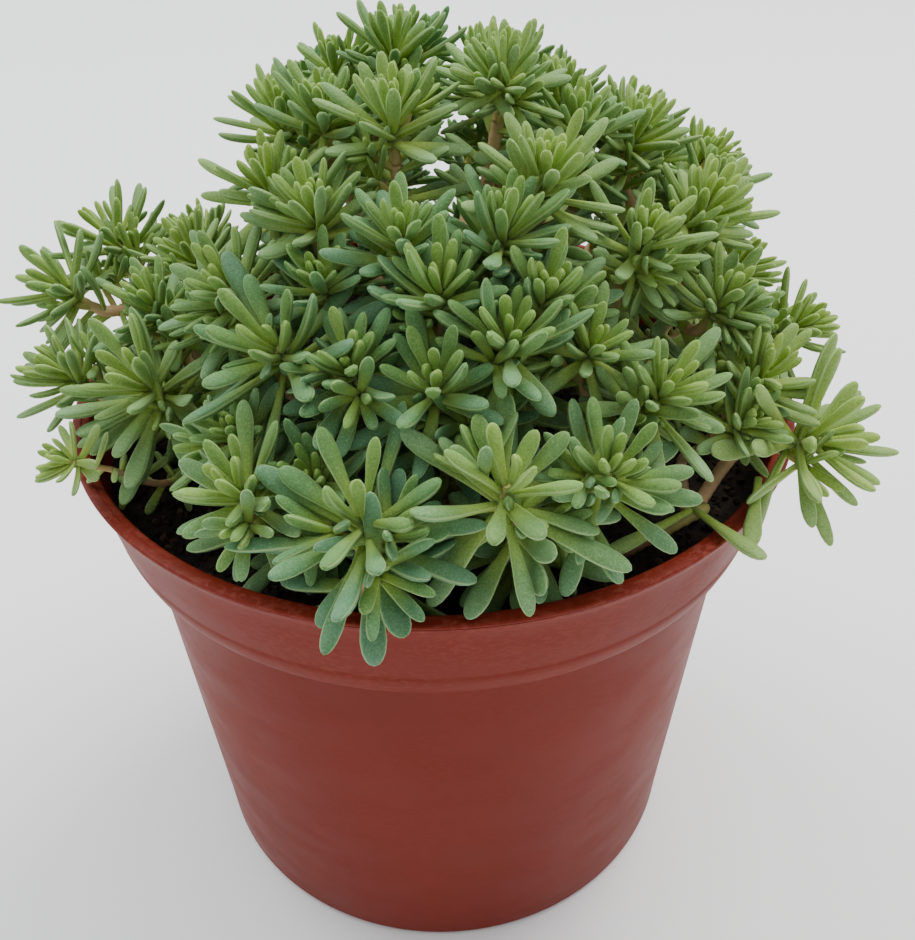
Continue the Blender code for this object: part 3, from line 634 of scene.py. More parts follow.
JOINT_SWELLING = 0.07
STEM_SIDES = 10

SPROUTS = 3
SPROUTS_BEHIND = 6
BEHIND_FROM = 12 * MM
SPROUTS_FROM = 0.6  # a smaller rosette has none, except behind
SPROUT_SEED = 1000
SPROUT_DEPTHS = (4 * MM, 12 * MM)
SPROUT_DEPTHS_BEHIND = (3 * MM, 18 * MM)
SPROUT_LEANS = (0.5, 1.1)
SPROUT_LENGTHS = (3 * MM, 5 * MM)
SPROUT_SIZES = (0.5, 0.78)
SPROUT_RADIUS = 0.45 * MM
STALK_STEPS = 3

Rosette = namedtuple("Rosette", "centre axis size whorls seed")


def on_mound(x, y, depth=0.0):
    """The place in the mound's surface over x and y in mm, or this deep below it."""
    x, y = x * MM, y * MM
    across = ((x - MOUND_MIDDLE[0]) / MOUND_REACH[0]) ** 2
    along = ((y - MOUND_MIDDLE[1]) / MOUND_REACH[1]) ** 2
    return Vector((x, y, POT_HEIGHT + MOUND_RISE * max(0.0, 1 - across - along) - depth))


def rosette_axis(centre, lean):
    """Rosettes face out of the mound, and those near its edge lean out further."""
    outward = (centre - LEAN_CENTRE).normalized()
    edge = math.hypot(centre.x, centre.y) / LIP_RADIUS
    return (outward + Vector((outward.x, outward.y, 0)) * lean * edge**3).normalized()


def all_rosettes():
    draw = random.Random(SEED)
    mound = [on_mound(x, y) for y, row in MOUND_ROWS for x in row]
    found = [(centre, draw.uniform(*ROSETTE_SIZES), MOUND_LEAN, 3) for centre in mound]
    found += [(on_mound(x, y, SIDE_DEPTH), SIDE_SIZE, MOUND_LEAN, 2) for x, y in SIDE_ROSETTES]
    found += [(Vector(place) * MM, size, lean, whorls) for *place, size, lean, whorls in RIM_ROSETTES]
    rosettes = []
    for index, (centre, size, lean, whorls) in enumerate(found):
        sway = Vector((draw.uniform(-1, 1), draw.uniform(-1, 1), 0)) * AXIS_SWAY
        axis = (rosette_axis(centre, lean) + sway).normalized()
        rosettes.append(Rosette(centre, axis, size, whorls, SEED + index))
    return rosettes


def paired(rosettes):
    """Joins the nearest free neighbours two by two until they stand on SHOOT_COUNT shoots."""
    centres = [rosette.centre for rosette in rosettes]
    near = sorted(((a - b).length, i, j) for i, a in enumerate(centres) for j, b in enumerate(centres[:i]))
    partner = {}
    for _, i, j in near:
        if len(partner) // 2 == len(rosettes) - SHOOT_COUNT:
            break
        if i not in partner and j not in partner:
            partner[i] = j
            partner[j] = i
    return [
        [rosettes[i], rosettes[partner[i]]] if i in partner else [rosettes[i]]
        for i in range(len(rosettes))
        if i not in partner or i < partner[i]
    ]


def shoot_base(shoot):
    """Where a shoot leaves its stem, and which way it sets off."""
    if len(shoot) == 1:
        return shoot[0].centre - shoot[0].axis * SINGLE_TWIG, shoot[0].axis
    middle = sum((rosette.centre for rosette in shoot), Vector()) / len(shoot)
    direction = sum((rosette.axis for rosette in shoot), Vector()).normalized()
    leafy = WHORL_DEPTH * max(rosette.whorls for rosette in shoot)
    return middle - direction * (FORKED_TWIG + leafy), direction


def plan_stems(shoots):
    """Gives each shoot to the stem whose patch lies nearest its own way out of the mix."""
    ways = {name: (on_mound(x, y) - ROOT_CENTRE).normalized() for name, (x, y) in STEM_PATCHES.items()}
    plan = {name: [] for name in STEM_PATCHES}
    for shoot in shoots:
        outward = (shoot_base(shoot)[0] - ROOT_CENTRE).normalized()
        plan[max(ways, key=lambda name: outward.dot(ways[name]))].append(shoot)
    return plan


def trunk_of(name, shoots):
    """The foot of a stem, its lean, and where its trunk ends."""
    if name == TRAILING_STEM:
        return TRAILING_FOOT, (TRAILING_FORK - TRAILING_FOOT).normalized(), TRAILING_FORK
    middle = sum((shoot_base(shoot)[0] for shoot in shoots), Vector()) / len(shoots)
    direction = (middle - ROOT_CENTRE).normalized()
    fork = ROOT_CENTRE + (middle - ROOT_CENTRE) * STEM_FORK
    fork += direction * max(0.0, (MIX_EDGE + TRUNK_LEAST - fork.z) / direction.z)
    foot = ROOT_CENTRE + direction * ((MIX_EDGE - STEM_FOOT_DEPTH - ROOT_CENTRE.z) / direction.z)
    return foot, direction, fork


def smooth_path(knots, steps=PATH_STEPS):
    """Points of a smooth path through the knots, which are places with a radius."""
    places = [place for place, _ in knots]
    radii = [radius for _, radius in knots]
    last = len(places) - 1
    slopes = [(places[min(index + 1, last)] - places[max(index - 1, 0)]) / 2 for index in range(last + 1)]
    path = []
    for index in range(last):
        start, end = places[index], places[index + 1]
        pulls = start + slopes[index] / 3, end - slopes[index + 1] / 3
        curve = interpolate_bezier(start, *pulls, end, steps + 1)
        for step, place in enumerate(curve[: None if index == last - 1 else -1]):
            path.append((place, radii[index] + (radii[index + 1] - radii[index]) * step / steps))
    return path


def twig_knots(shoot, rosette):
    """The twig from its shoot's base up through the rosette."""
    base, way = shoot_base(shoot)
    thick = TWIG_RADIUS * min(1.0, rosette.size)
    tip = rosette.centre + rosette.axis * BUD_RISE
    knee = rosette.centre - rosette.axis * WHORL_DEPTH * (rosette.whorls + KNEE_BELOW)
    middle = []
    if len(shoot) > 1:
        pull = (knee - base).length * TWIG_PULL
        curve = interpolate_bezier(base, base + way * pull, knee - rosette.axis * pull, knee, 3)
        middle = [(curve[1], thick)]
    return [(base, thick), *middle, (knee, thick), (tip, BUD_RADIUS)]


def stem_paths(name, shoots):
    """Every path of a stem: its trunk, then a path up each branch and twig, keyed by rosette."""
    foot, direction, fork = trunk_of(name, shoots)
    ordered = sorted(shoots, key=lambda shoot: shoot_base(shoot)[0].z)
    spacing = min(BRANCH_SPACING, (fork.z - BRANCH_LOWEST) / direction.z / len(ordered))
    beyond = TRUNK_BEYOND
    if name == TRAILING_STEM:
        spacing = beyond = TRAILING_SPACING
    top = fork + direction * beyond
    trunk = smooth_path([(foot, TRUNK_RADIUS), (fork, BRANCH_RADIUS), (top, TIP_RADIUS)])
    twigs = {}
    for index, shoot in enumerate(ordered):
        base, way = shoot_base(shoot)
        start = fork - direction * (spacing * (len(ordered) - index))
        straight = min((base - start).length * BRANCH_ELBOW, (base.z - BRANCH_LOWEST) / way.z)
        thick = BRANCH_RADIUS * min(1.0, max(rosette.size for rosette in shoot))
        for rosette in shoot:
            knots = [(start, thick), (base - way * straight, thick), *twig_knots(shoot, rosette)]
            twigs[rosette.seed] = smooth_path(knots)
    return trunk, twigs


def along_path(path, depth):
    """The place this far down from the path's end."""
    for (upper, _), (lower, _) in zip(path[::-1], path[-2::-1]):
        step = (upper - lower).length
        if depth < step:
            return upper + (lower - upper) * depth / step
        depth -= step
    return path[0][0]


def sprouts_on(rosette, twig):
    """Small side rosettes that break from the twig below its head, each with the path of its stalk."""
    draw = random.Random(SPROUT_SEED + rosette.seed)
    count, depths = SPROUTS if rosette.size > SPROUTS_FROM else 0, SPROUT_DEPTHS
    if rosette.centre.y > BEHIND_FROM:
        count, depths = SPROUTS_BEHIND, SPROUT_DEPTHS_BEHIND
    found = []
    for number in range(count):
        start = along_path(twig, draw.uniform(*depths))
        around = Matrix.Rotation(draw.uniform(0, math.tau), 3, rosette.axis)
        outward = around @ rosette.axis.orthogonal().normalized()
        axis = (rosette.axis + outward * draw.uniform(*SPROUT_LEANS)).normalized()
        centre = start + axis * draw.uniform(*SPROUT_LENGTHS)
        size = draw.uniform(*SPROUT_SIZES)
        seed = SPROUT_SEED + rosette.seed * SPROUTS_BEHIND + number
        stalk = smooth_path([(start, SPROUT_RADIUS), (centre, SPROUT_RADIUS)], STALK_STEPS)
        found.append((Rosette(centre, axis, size, 1, seed), stalk))
    return found


def named(tree, name, kind="FLOAT"):
    """What a mesh keeps under this name, as a socket of a Geometry Nodes tree."""
    return put(tree, "GeometryNodeInputNamedAttribute", {"Name": name}, data_type=kind).outputs["Attribute"]


def store(mesh, name, values, kind="FLOAT"):
    """Keeps a value for every point of a mesh."""
    kept = mesh.attributes.new(name, kind, "POINT").data
    kept.foreach_set("vector" if kind == "FLOAT_VECTOR" else "value", values)


def stem_tree():
    """Round stems along the paths, swollen at every joint."""
    kinds = {"Spacing": "Float", "Swelling": "Float", "Sides": "Int", "Finish": "Material"}
    tree, given = new_tree("jointed_stems", kinds)
    line = put(tree, "GeometryNodeMeshToCurve", {"Mesh": given["Geometry"]})
    step = calc(tree, "DIVIDE", given["Spacing"], STEPS_PER_JOINT)
    fine = put(tree, "GeometryNodeResampleCurve", {"Curve": line, "Length": step}, mode="LENGTH")
    along = put(tree, "GeometryNodeSplineParameter").outputs["Length"]
    wave = calc(tree, "SINE", calc(tree, "MULTIPLY", calc(tree, "DIVIDE", along, given["Spacing"]), math.tau))
    swell = calc(tree, "MULTIPLY_ADD", wave, given["Swelling"], 1.0)
    radius = calc(tree, "MULTIPLY", named(tree, "thickness"), swell)
    ring = put(tree, "GeometryNodeCurvePrimitiveCircle", {"Resolution": given["Sides"], "Radius": 1.0})
    swept = {"Curve": fine, "Profile Curve": ring, "Scale": radius, "Fill Caps": True}
    tube = put(tree, "GeometryNodeCurveToMesh", swept)
    return close_tree(tree, given, put(tree, "GeometryNodeSetShadeSmooth", {"Geometry": tube}))


def path_mesh(name, paths):
    """Edges along the paths, with the thickness and the youth of each point, which is 1 at a path's end."""
    mesh = bpy.data.meshes.new(name)
    places, edges, radii, youth = [], [], [], []
    for path in paths:
        first = len(places)
        places += [place for place, _ in path]
        radii += [radius for _, radius in path]
        depths = [(place - path[-1][0]).length for place, _ in path]
        youth += [np.interp(depth, (YOUNG_TO, YOUNG_FROM), (1, 0)) for depth in depths]
        edges += [(index, index + 1) for index in range(first, len(places) - 1)]
    mesh.from_pydata(places, edges, [])
    store(mesh, "thickness", radii)
    store(mesh, "youth", youth)
    return new_object(name, mesh)


def young_bark():
    """Yellow-green skin inside the heads, tan-pink below them, brown towards the mix."""
    made, tree, shader = new_finish("young_bark")
    skin = mottled(tree, seen(214, 182, 140), seen(200, 156, 118), 260.0, 2.6)
    woody = mottled(tree, seen(150, 116, 84), seen(118, 88, 62), 420.0, 2.6)
    tan = mixed(tree, ramped(tree, height_above(tree), MIX_EDGE, POT_HEIGHT), woody, skin)
    colour = mixed(tree, ramped(tree, stored(tree, "youth"), 0.0, 1.0, 0.0, 0.9), tan, seen(176, 172, 98))
    feed(tree, shader, {"Base Color": colour, "Roughness": 0.6, "Specular IOR Level": 0.2})
    feed(tree, shader, {"Subsurface Weight": 0.15, "Subsurface Scale": 0.5 * MM})
    roughen(tree, shader, fine_grain(tree, 1600.0, 3.0), 0.4, 0.1 * MM)
    return made


rosettes = all_rosettes()
shoots = paired(rosettes)
stem_plan = plan_stems(shoots)
jointed = stem_tree()
bark = young_bark()
twig_of = {}
sprouts_of = {}
stems = []
for node, fed in stem_plan.items():
    trunk, twigs = stem_paths(node, fed)
    twig_of.update(twigs)
    stalks = []
    for rosette in (rosette for shoot in fed for rosette in shoot):
        pairs = sprouts_on(rosette, twigs[rosette.seed])
        sprouts_of[rosette.seed] = [sprout for sprout, _ in pairs]
        twig_of.update({sprout.seed: stalk for sprout, stalk in pairs})
        stalks += [stalk for _, stalk in pairs]
    paths = [trunk, *twigs.values(), *stalks]
    if node == TRAILING_STEM:
        paths = [[(place, radius * TRAILING_SLIMMER) for place, radius in path] for path in paths]
    stem = path_mesh("woody_" + node, paths)
    joints = {"Spacing": JOINT_SPACING, "Swelling": JOINT_SWELLING, "Sides": STEM_SIDES}
    grow(stem, jointed, {**joints, "Finish": bark})
    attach(stem, "root")
    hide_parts(node)
    stems.append(stem)


# Leafy shoots
# Each shoot carries one or two rosettes of fleshy leaves, which are narrow at the root, flat above, rounded
# beneath and blunt at the tip. They grow in a spiral: the youngest upright, the oldest spread or hanging.

LEAF_LENGTH_FRONT = 12.5 * MM
LEAF_LENGTH_BACK = 9 * MM
LEAF_WIDTH_FRONT = 2.2 * MM
LEAF_WIDTH_BACK = 1.52 * MM
WIDTH_BY_SIZE = 0.6  # a large rosette's leaves grow in length more than in width
FRONT_EDGE = -45 * MM
FRONT_DEPTH = 60 * MM
GOLDEN_TURN = math.radians(137.508)
LEAF_OUT = 0.3 * MM  # the roots stand around the twig's middle
HEAD_LEAVES = 27
LEAST_HEAD = 0.45
OPEN_FROM = 1.06  # rosettes this large are open stars, with fewer young leaves
OPEN_HEAD = 0.8
OPEN_RIPENING = 0.6
RIPENING = (0.65, 1.0)
HEAD_DEPTH = 1.4 * MM
HEAD_RISE = 1.2 * MM
# How far the leaves of a head stray either way: spread in degrees, growing with age, turn, bend and roll
HEAD_SPREAD = 13
SPREAD_FROM = 0.4
HEAD_AROUND = 0.35
HEAD_CURL = 0.14
HEAD_ROLL = 0.6
YOUNG_BEND = 0.08
BEND_LOST = 0.04
HEAD_LENGTHS = (0.74, 1.12)
HEAD_WIDTHS = (0.85, 1.12)
SPROUT_LEAVES = 9
SPROUT_AGES = (0.25, 0.85)
STEM_LEAVES = 18
TRAILING_STEM_LEAVES = 3
STEM_LEAF_STEP = 1.25 * MM
STEM_LEAF_AROUND = 0.3
STEM_LEAF_SPREADS = (55, 112)
STEM_LEAF_BENDS = (-0.1, 0.14)
STEM_LEAF_ROLL = 0.4
STEM_LEAF_LENGTHS = (0.72, 1.0)
STEM_LEAF_WIDTHS = (0.9, 1.1)
LEAF_CLEAR_FROM = 0.28
LEAF_GAP = 0.1 * MM
MOST_LEAVES = 9000
# Along a leaf from root to tip: share of the length, half width and thickness as shares of the widest.
# Leaves in the light are spoons with a long narrow root, and those on the back of the mound are like fingers.
SPOON = (
    (0.0, 0.42, 0.7),
    (0.14, 0.4, 0.68),
    (0.32, 0.5, 0.76),
    (0.52, 0.74, 0.92),
    (0.68, 0.94, 1.0),
    (0.79, 1.0, 0.97),
    (0.885, 0.88, 0.84),
    (0.95, 0.64, 0.6),
    (0.985, 0.36, 0.32),
)
FINGER = (
    (0.0, 0.66, 0.72),
    (0.14, 0.66, 0.76),
    (0.32, 0.8, 0.9),
    (0.52, 0.94, 0.98),
    (0.68, 1.0, 1.0),
    (0.81, 0.95, 0.95),
    (0.91, 0.74, 0.76),
    (0.97, 0.44, 0.46),
)
# The plain leaf that stands in for both where leaves are tested for room
PLAIN_LEAF = ((LEAF_CLEAR_FROM, 0.42, 0.75), (0.6, 0.84, 0.97), (0.84, 0.98, 0.9), (1.0, 0.4, 0.4))
# Around a section from the right margin over the top: across and up, as shares of half width and thickness
LEAF_ROUND = (
    (1.0, 0.0),
    (0.72, 0.3),
    (0.0, 0.34),
    (-0.72, 0.3),
    (-1.0, 0.0),
    (-0.72, -0.45),
    (0.0, -0.66),
    (0.72, -0.45),
)
ABOVE, BELOW = 0.3, 0.7  # how a leaf's thickness is shared out over and under its middle
LEAF_POINT = (0, 1, -0.06)
SPOON_FROM = 10.5 * MM
# What a leaf's age, from 0 for the youngest, gives: spread from the axis in degrees, and length, width and
# thickness as shares of the full length, the full width and its own width
AGES = (0.0, 0.15, 0.3, 0.5, 0.7, 0.85, 1.0)
SPREADS = (8, 20, 31, 44, 60, 80, 100)
HANGING_SPREADS = (8, 20, 34, 52, 74, 96, 116)
HANGING_WHORLS = 4  # rosettes with so many whorls hang over the rim
LENGTHS = (0.36, 0.5, 0.64, 0.8, 0.93, 0.97, 0.95)
WIDTHS = (0.6, 0.68, 0.76, 0.86, 0.95, 1.02, 1.12)
THICKNESSES = (0.8, 0.78, 0.74, 0.68, 0.6, 0.54, 0.5)
LEAST_SPREAD = 4
LOWEST_TIP = 84 * MM  # outside the pot
# Leaves set one by one, by their tips in mm, each kind with its width as a share of a full front leaf's:
# the longest leaves of the front rosette, which hang over the rim
HANGING_TIPS = ((-7, -53.3, 78), (-12.3, -52.2, 82.5), (-3.8, -53.6, 82.2))
HANGING_WIDTH = 1.3
# Those of the trailing stem: the leaves that hang from its head, the one that hangs over the rim, with its
# root, and the two large ones at its fork, one inside the rim and one over it
TRAILING_TIPS = ((45.4, -37.5, 78.5), (43.2, -36.5, 80.5), (49, -34, 81.5), (54.5, -30, 86), (52, -28, 91.5))
TRAILING_WIDTH = 0.85
RIM_LEAF_ROOT = Vector((38.5, -29.5, 82.8)) * MM
RIM_LEAF_TIP = (35, -40.3, 81)
FORK_TIPS = ((19.2, -37, 77.5), (35.7, -43.5, 82))
FORK_WIDTH = 1.05
FORK_RISE = Vector((0, 0, 0.9 * MM))
# Those of the open rosette by the left rim, which reach over and into the pot
LEFT_STAR = Vector((-35, -19, 91.5)) * MM
LEFT_TIPS = (
    (-45.5, -22.5, 89.5),
    (-42.8, -24, 87.5),
    (-42, -23.6, 84.4),
    (-36.5, -29, 83.2),
    (-37.8, -28.5, 80.4),
    (-29.3, -26.6, 84.4),
    (-27.4, -24.3, 87.9),
)
LEFT_WIDTH = 1.15
SET_LEAF_BEND = 0.4 * MM
HUB_WHORLS = 2
# How a leaf gives way to its neighbours: change of spread in degrees, turn aside, and share of its size
YIELDS = [
    (spread, aside, share)
    for share in (1.0, 0.88, 0.75)
    for spread in (0, -8, 8, -16, 16, -26, -38)
    for aside in (0, 0.2, -0.2)
]
# How far a rosette is yellowed by the sun and lightened by painted light: at all, towards the sides, more on
# the right, and towards the top
YELLOW_AND_PAINTED_LIGHT_ALL, YELLOW_AND_PAINTED_LIGHT_SIDES, YELLOW_AND_PAINTED_LIGHT_RIGHT, YELLOW_AND_PAINTED_LIGHT_TOP = 0.2, 0.56, 0.04, 0.3
YELLOW_AND_PAINTED_LIGHT_SWAY = 0.2
ROSETTE_TINTS = (0.2, 0.8)
LEAF_TINT_SWAY = 0.25

Leaf = namedtuple("Leaf", "root direction top length width thickness bend age is_spoon")


def leaf_blade(name, sections):
    """One leaf, one long and one wide, with its place along and across stored for the finish."""
    shape = bmesh.new()
    along = shape.verts.layers.float.new("along")
    across = shape.verts.layers.float.new("across")
    rings = []
    for place, width, depth in sections:
        ring = [shape.verts.new((side * width / 2, place, up * depth)) for side, up in LEAF_ROUND]
        for corner, (side, _) in zip(ring, LEAF_ROUND):
            corner[along] = place
            corner[across] = side
        rings.append(ring)
    tip = shape.verts.new(LEAF_POINT)
    tip[along] = 1.0
    tip[across] = 1.0
    shape.faces.new(rings[0])
    followed = [(index, (index + 1) % len(LEAF_ROUND)) for index in range(len(LEAF_ROUND))]
    for lower, upper in zip(rings, rings[1:]):
        for index, after in followed:
            shape.faces.new((lower[after], lower[index], upper[index], upper[after]))
    for index, after in followed:
        shape.faces.new((rings[-1][after], rings[-1][index], tip))
    bmesh.ops.recalc_face_normals(shape, faces=shape.faces)
    blade = object_of(name, shape)
    blade.data.shade_smooth()
    return blade


def full_size(rosette):
    """Length and width of a rosette's full leaves, which are largest on the sunny front edge."""
    back = min(1.0, max(0.0, (rosette.centre.y - FRONT_EDGE) / FRONT_DEPTH))
    length = LEAF_LENGTH_FRONT + (LEAF_LENGTH_BACK - LEAF_LENGTH_FRONT) * back
    width = LEAF_WIDTH_FRONT + (LEAF_WIDTH_BACK - LEAF_WIDTH_FRONT) * back
    return rosette.size * length, rosette.size**WIDTH_BY_SIZE * width


def leaf_at(place, axis, around, spread, roll, size, bend, age, share):
    """A leaf on a twig, turned so far around its axis, spread so far away from it and rolled about itself."""
    outward = Matrix.Rotation(around, 3, axis) @ axis.orthogonal().normalized()
    angle = math.radians(spread)
    direction = axis * math.cos(angle) + outward * math.sin(angle)
    top = Matrix.Rotation(roll, 3, direction) @ (axis * math.sin(angle) - outward * math.cos(angle))
    length = size[0] * share * np.interp(age, AGES, LENGTHS)
    width = size[1] * share**0.5 * np.interp(age, AGES, WIDTHS)
    thickness = width * np.interp(age, AGES, THICKNESSES)
    root = place + outward * LEAF_OUT
    return Leaf(root, direction, top, length, width, thickness, bend * length, age, size[0] > SPOON_FROM)


def leaves_to(root, tips, share):
    """Grown leaves from one root to these tips, their flat sides up."""
    width = share * LEAF_WIDTH_FRONT
    leaves = []
    for tip in tips:
        way = Vector(tip) * MM - root
        direction = way.normalized()
        top = (Vector((0, 0, 1)) - direction * direction.z).normalized()
        thickness = width * THICKNESSES[-1]
        leaves.append(Leaf(root, direction, top, way.length, width, thickness, SET_LEAF_BEND, 1.0, True))
    return leaves


def droops(leaf):
    """True where a leaf would hang too far down outside the pot."""
    tip = leaf.root + leaf.direction * leaf.length
    return tip.z < LOWEST_TIP and math.hypot(tip.x, tip.y) > LIP_RADIUS


def leaf_solid(leaf):
    """The room a leaf needs beyond its root, as a tree for overlap tests with its middle and reach."""
    side = leaf.top.cross(leaf.direction)
    corners, faces = [], []
    for place, width, depth in PLAIN_LEAF:
        middle = leaf.root + leaf.direction * leaf.length * place + leaf.top * leaf.bend * place**2
        wide = side * (leaf.width / 2 * width + LEAF_GAP)
        high = leaf.top * (leaf.thickness * ABOVE * depth + LEAF_GAP)
        low = leaf.top * (leaf.thickness * BELOW * depth + LEAF_GAP)
        corners += [middle + wide, middle + high, middle - wide, middle - low]
    for first in (0, 4, 8):
        for index in range(4):
            after = (index + 1) % 4
            faces.append((first + index, first + after, first + 4 + after, first + 4 + index))
    return overlap_tree(corners, [*faces, (0, 1, 2, 3), (12, 13, 14, 15)])


def overlap_tree(corners, faces):
    """A tree for overlap tests, with its middle and reach."""
    middle = sum(corners, Vector()) / len(corners)
    reach = max((corner - middle).length for corner in corners)
    return BVHTree.FromPolygons(corners, faces), middle, reach


class Crowd:
    """Everything that a new leaf has to clear."""

    def __init__(self):
        self.trees = []
        self.middles = np.zeros((MOST_LEAVES, 3))
        self.reaches = np.zeros(MOST_LEAVES)

    def add(self, tree, middle, reach):
        self.middles[len(self.trees)] = middle
        self.reaches[len(self.trees)] = reach
        self.trees.append(tree)

    def is_free(self, tree, middle, reach):
        count = len(self.trees)
        away = np.linalg.norm(self.middles[:count] - np.array(middle), axis=1)
        near = np.nonzero(away < self.reaches[:count] + reach)[0]
        return not any(self.trees[index].overlap(tree) for index in near)


def either_way(draw, most):
    return draw.uniform(-most, most)


def head_wishes(rosette, count, youngest=0.0, oldest=1.0):
    """The leaves of a rosette's head, the youngest first, as they would grow with nothing beside them."""
    draw = random.Random(rosette.seed)
    phase = draw.uniform(0, math.tau)
    length, width = full_size(rosette)
    depth = HEAD_DEPTH * rosette.whorls
    ripening = OPEN_RIPENING if rosette.size > OPEN_FROM else draw.uniform(*RIPENING)
    spreads = HANGING_SPREADS if rosette.whorls >= HANGING_WHORLS else SPREADS
    wishes = []
    for index in range(count):
        age = youngest + (oldest - youngest) * (index / (count - 1)) ** ripening
        spread = np.interp(age, AGES, spreads) + either_way(draw, HEAD_SPREAD) * (SPREAD_FROM + age)
        place = rosette.centre + rosette.axis * (HEAD_RISE - depth * age)
        around = phase + GOLDEN_TURN * index + either_way(draw, HEAD_AROUND)
        bend = YOUNG_BEND - BEND_LOST * age + either_way(draw, HEAD_CURL)
        roll = either_way(draw, HEAD_ROLL) * age
        size = (length * draw.uniform(*HEAD_LENGTHS), width * draw.uniform(*HEAD_WIDTHS))
        wishes.append((place, rosette.axis, around, spread, roll, size, bend, age))
    return wishes


def stem_wishes(rosette, twig, most):
    """The old leaves left on the twig below the head."""
    draw = random.Random(SEED + rosette.seed)
    length, width = full_size(rosette)
    below = HEAD_DEPTH * rosette.whorls
    walked = 0.0
    wishes = []
    for (upper, _), (lower, _) in zip(twig[::-1], twig[-2::-1]):
        walked += (upper - lower).length
        while walked > below + STEM_LEAF_STEP and len(wishes) < most:
            below += STEM_LEAF_STEP
            around = GOLDEN_TURN * len(wishes) + either_way(draw, STEM_LEAF_AROUND)
            axis = (upper - lower).normalized()
            place = lower + axis * (walked - below)
            spread = draw.uniform(*STEM_LEAF_SPREADS)
            bend = draw.uniform(*STEM_LEAF_BENDS)
            roll = either_way(draw, STEM_LEAF_ROLL)
            size = (length * draw.uniform(*STEM_LEAF_LENGTHS), width * draw.uniform(*STEM_LEAF_WIDTHS))
            wishes.append((place, axis, around, spread, roll, size, bend, 1.0))
    return wishes


def fitted(wishes, crowd):
    """Leaves of every rosette, fitted in turn from the youngest, so that neighbours share the room."""
    grown = {seed: [] for seed in wishes}
    for turn in range(max(len(group) for group in wishes.values())):
        for seed, group in wishes.items():
            if turn >= len(group):
                continue
            place, axis, around, spread, *rest = group[turn]
            for change, aside, share in YIELDS:
                leaf = leaf_at(place, axis, around + aside, max(LEAST_SPREAD, spread + change), *rest, share)
                room = leaf_solid(leaf)
                if not droops(leaf) and crowd.is_free(*room):
                    crowd.add(*room)
                    grown[seed].append(leaf)
                    break
    return grown


def leaf_tree():
    """A blade on every point, spoon or finger, turned, sized and curled as the point says."""
    tree, given = new_tree("leaves_on_shoot", {"Spoon": "Object", "Finger": "Object", "Finish": "Material"})
    is_spoon = named(tree, "is_spoon", "BOOLEAN")
    is_finger = put(tree, "FunctionNodeBooleanMath", {0: is_spoon}, operation="NOT")
    laid = {
        "Points": given["Geometry"],
        "Rotation": put(tree, "FunctionNodeEulerToRotation", {0: named(tree, "turn", "FLOAT_VECTOR")}),
        "Scale": named(tree, "size", "FLOAT_VECTOR"),
    }
    both = put(tree, "GeometryNodeJoinGeometry")
    for label, chosen in (("Spoon", is_spoon), ("Finger", is_finger)):
        blade = put(tree, "GeometryNodeObjectInfo", {"Object": given[label]}).outputs["Geometry"]
        copies = put(tree, "GeometryNodeInstanceOnPoints", {**laid, "Selection": chosen, "Instance": blade})
        tree.links.new(copies.outputs[0], both.inputs[0])
    real = put(tree, "GeometryNodeRealizeInstances", {0: both})
    along = named(tree, "along")
    curl = {0: named(tree, "curl", "FLOAT_VECTOR"), "Scale": calc(tree, "MULTIPLY", along, along)}
    offset = put(tree, "ShaderNodeVectorMath", curl, operation="SCALE")
    return close_tree(tree, given, put(tree, "GeometryNodeSetPosition", {"Geometry": real, "Offset": offset}))


def leaf_points(name, leaves, tints, yellowing_and_painted_light_shares):
    """A point at every leaf's root, with its turn, size, curl, age, tint, and its share of sun yellowing and
    painted light.
    """
    mesh = bpy.data.meshes.new(name)
    mesh.from_pydata([leaf.root for leaf in leaves], [], [])
    turns, sizes, curls = [], [], []
    for leaf in leaves:
        side = leaf.direction.cross(leaf.top)
        turns.extend(Matrix((side, leaf.direction, leaf.top)).transposed().to_euler())
        sizes.extend((leaf.width, leaf.length, leaf.thickness))
        curls.extend(leaf.top * leaf.bend)
    for label, values in (("turn", turns), ("size", sizes), ("curl", curls)):
        store(mesh, label, values, "FLOAT_VECTOR")
    for label, values in (("age", [leaf.age for leaf in leaves]), ("tint", tints), ("yellowing_and_painted_light", yellowing_and_painted_light_shares)):
        store(mesh, label, values)
    store(mesh, "is_spoon", [leaf.is_spoon for leaf in leaves], "BOOLEAN")
    return new_object(name, mesh)


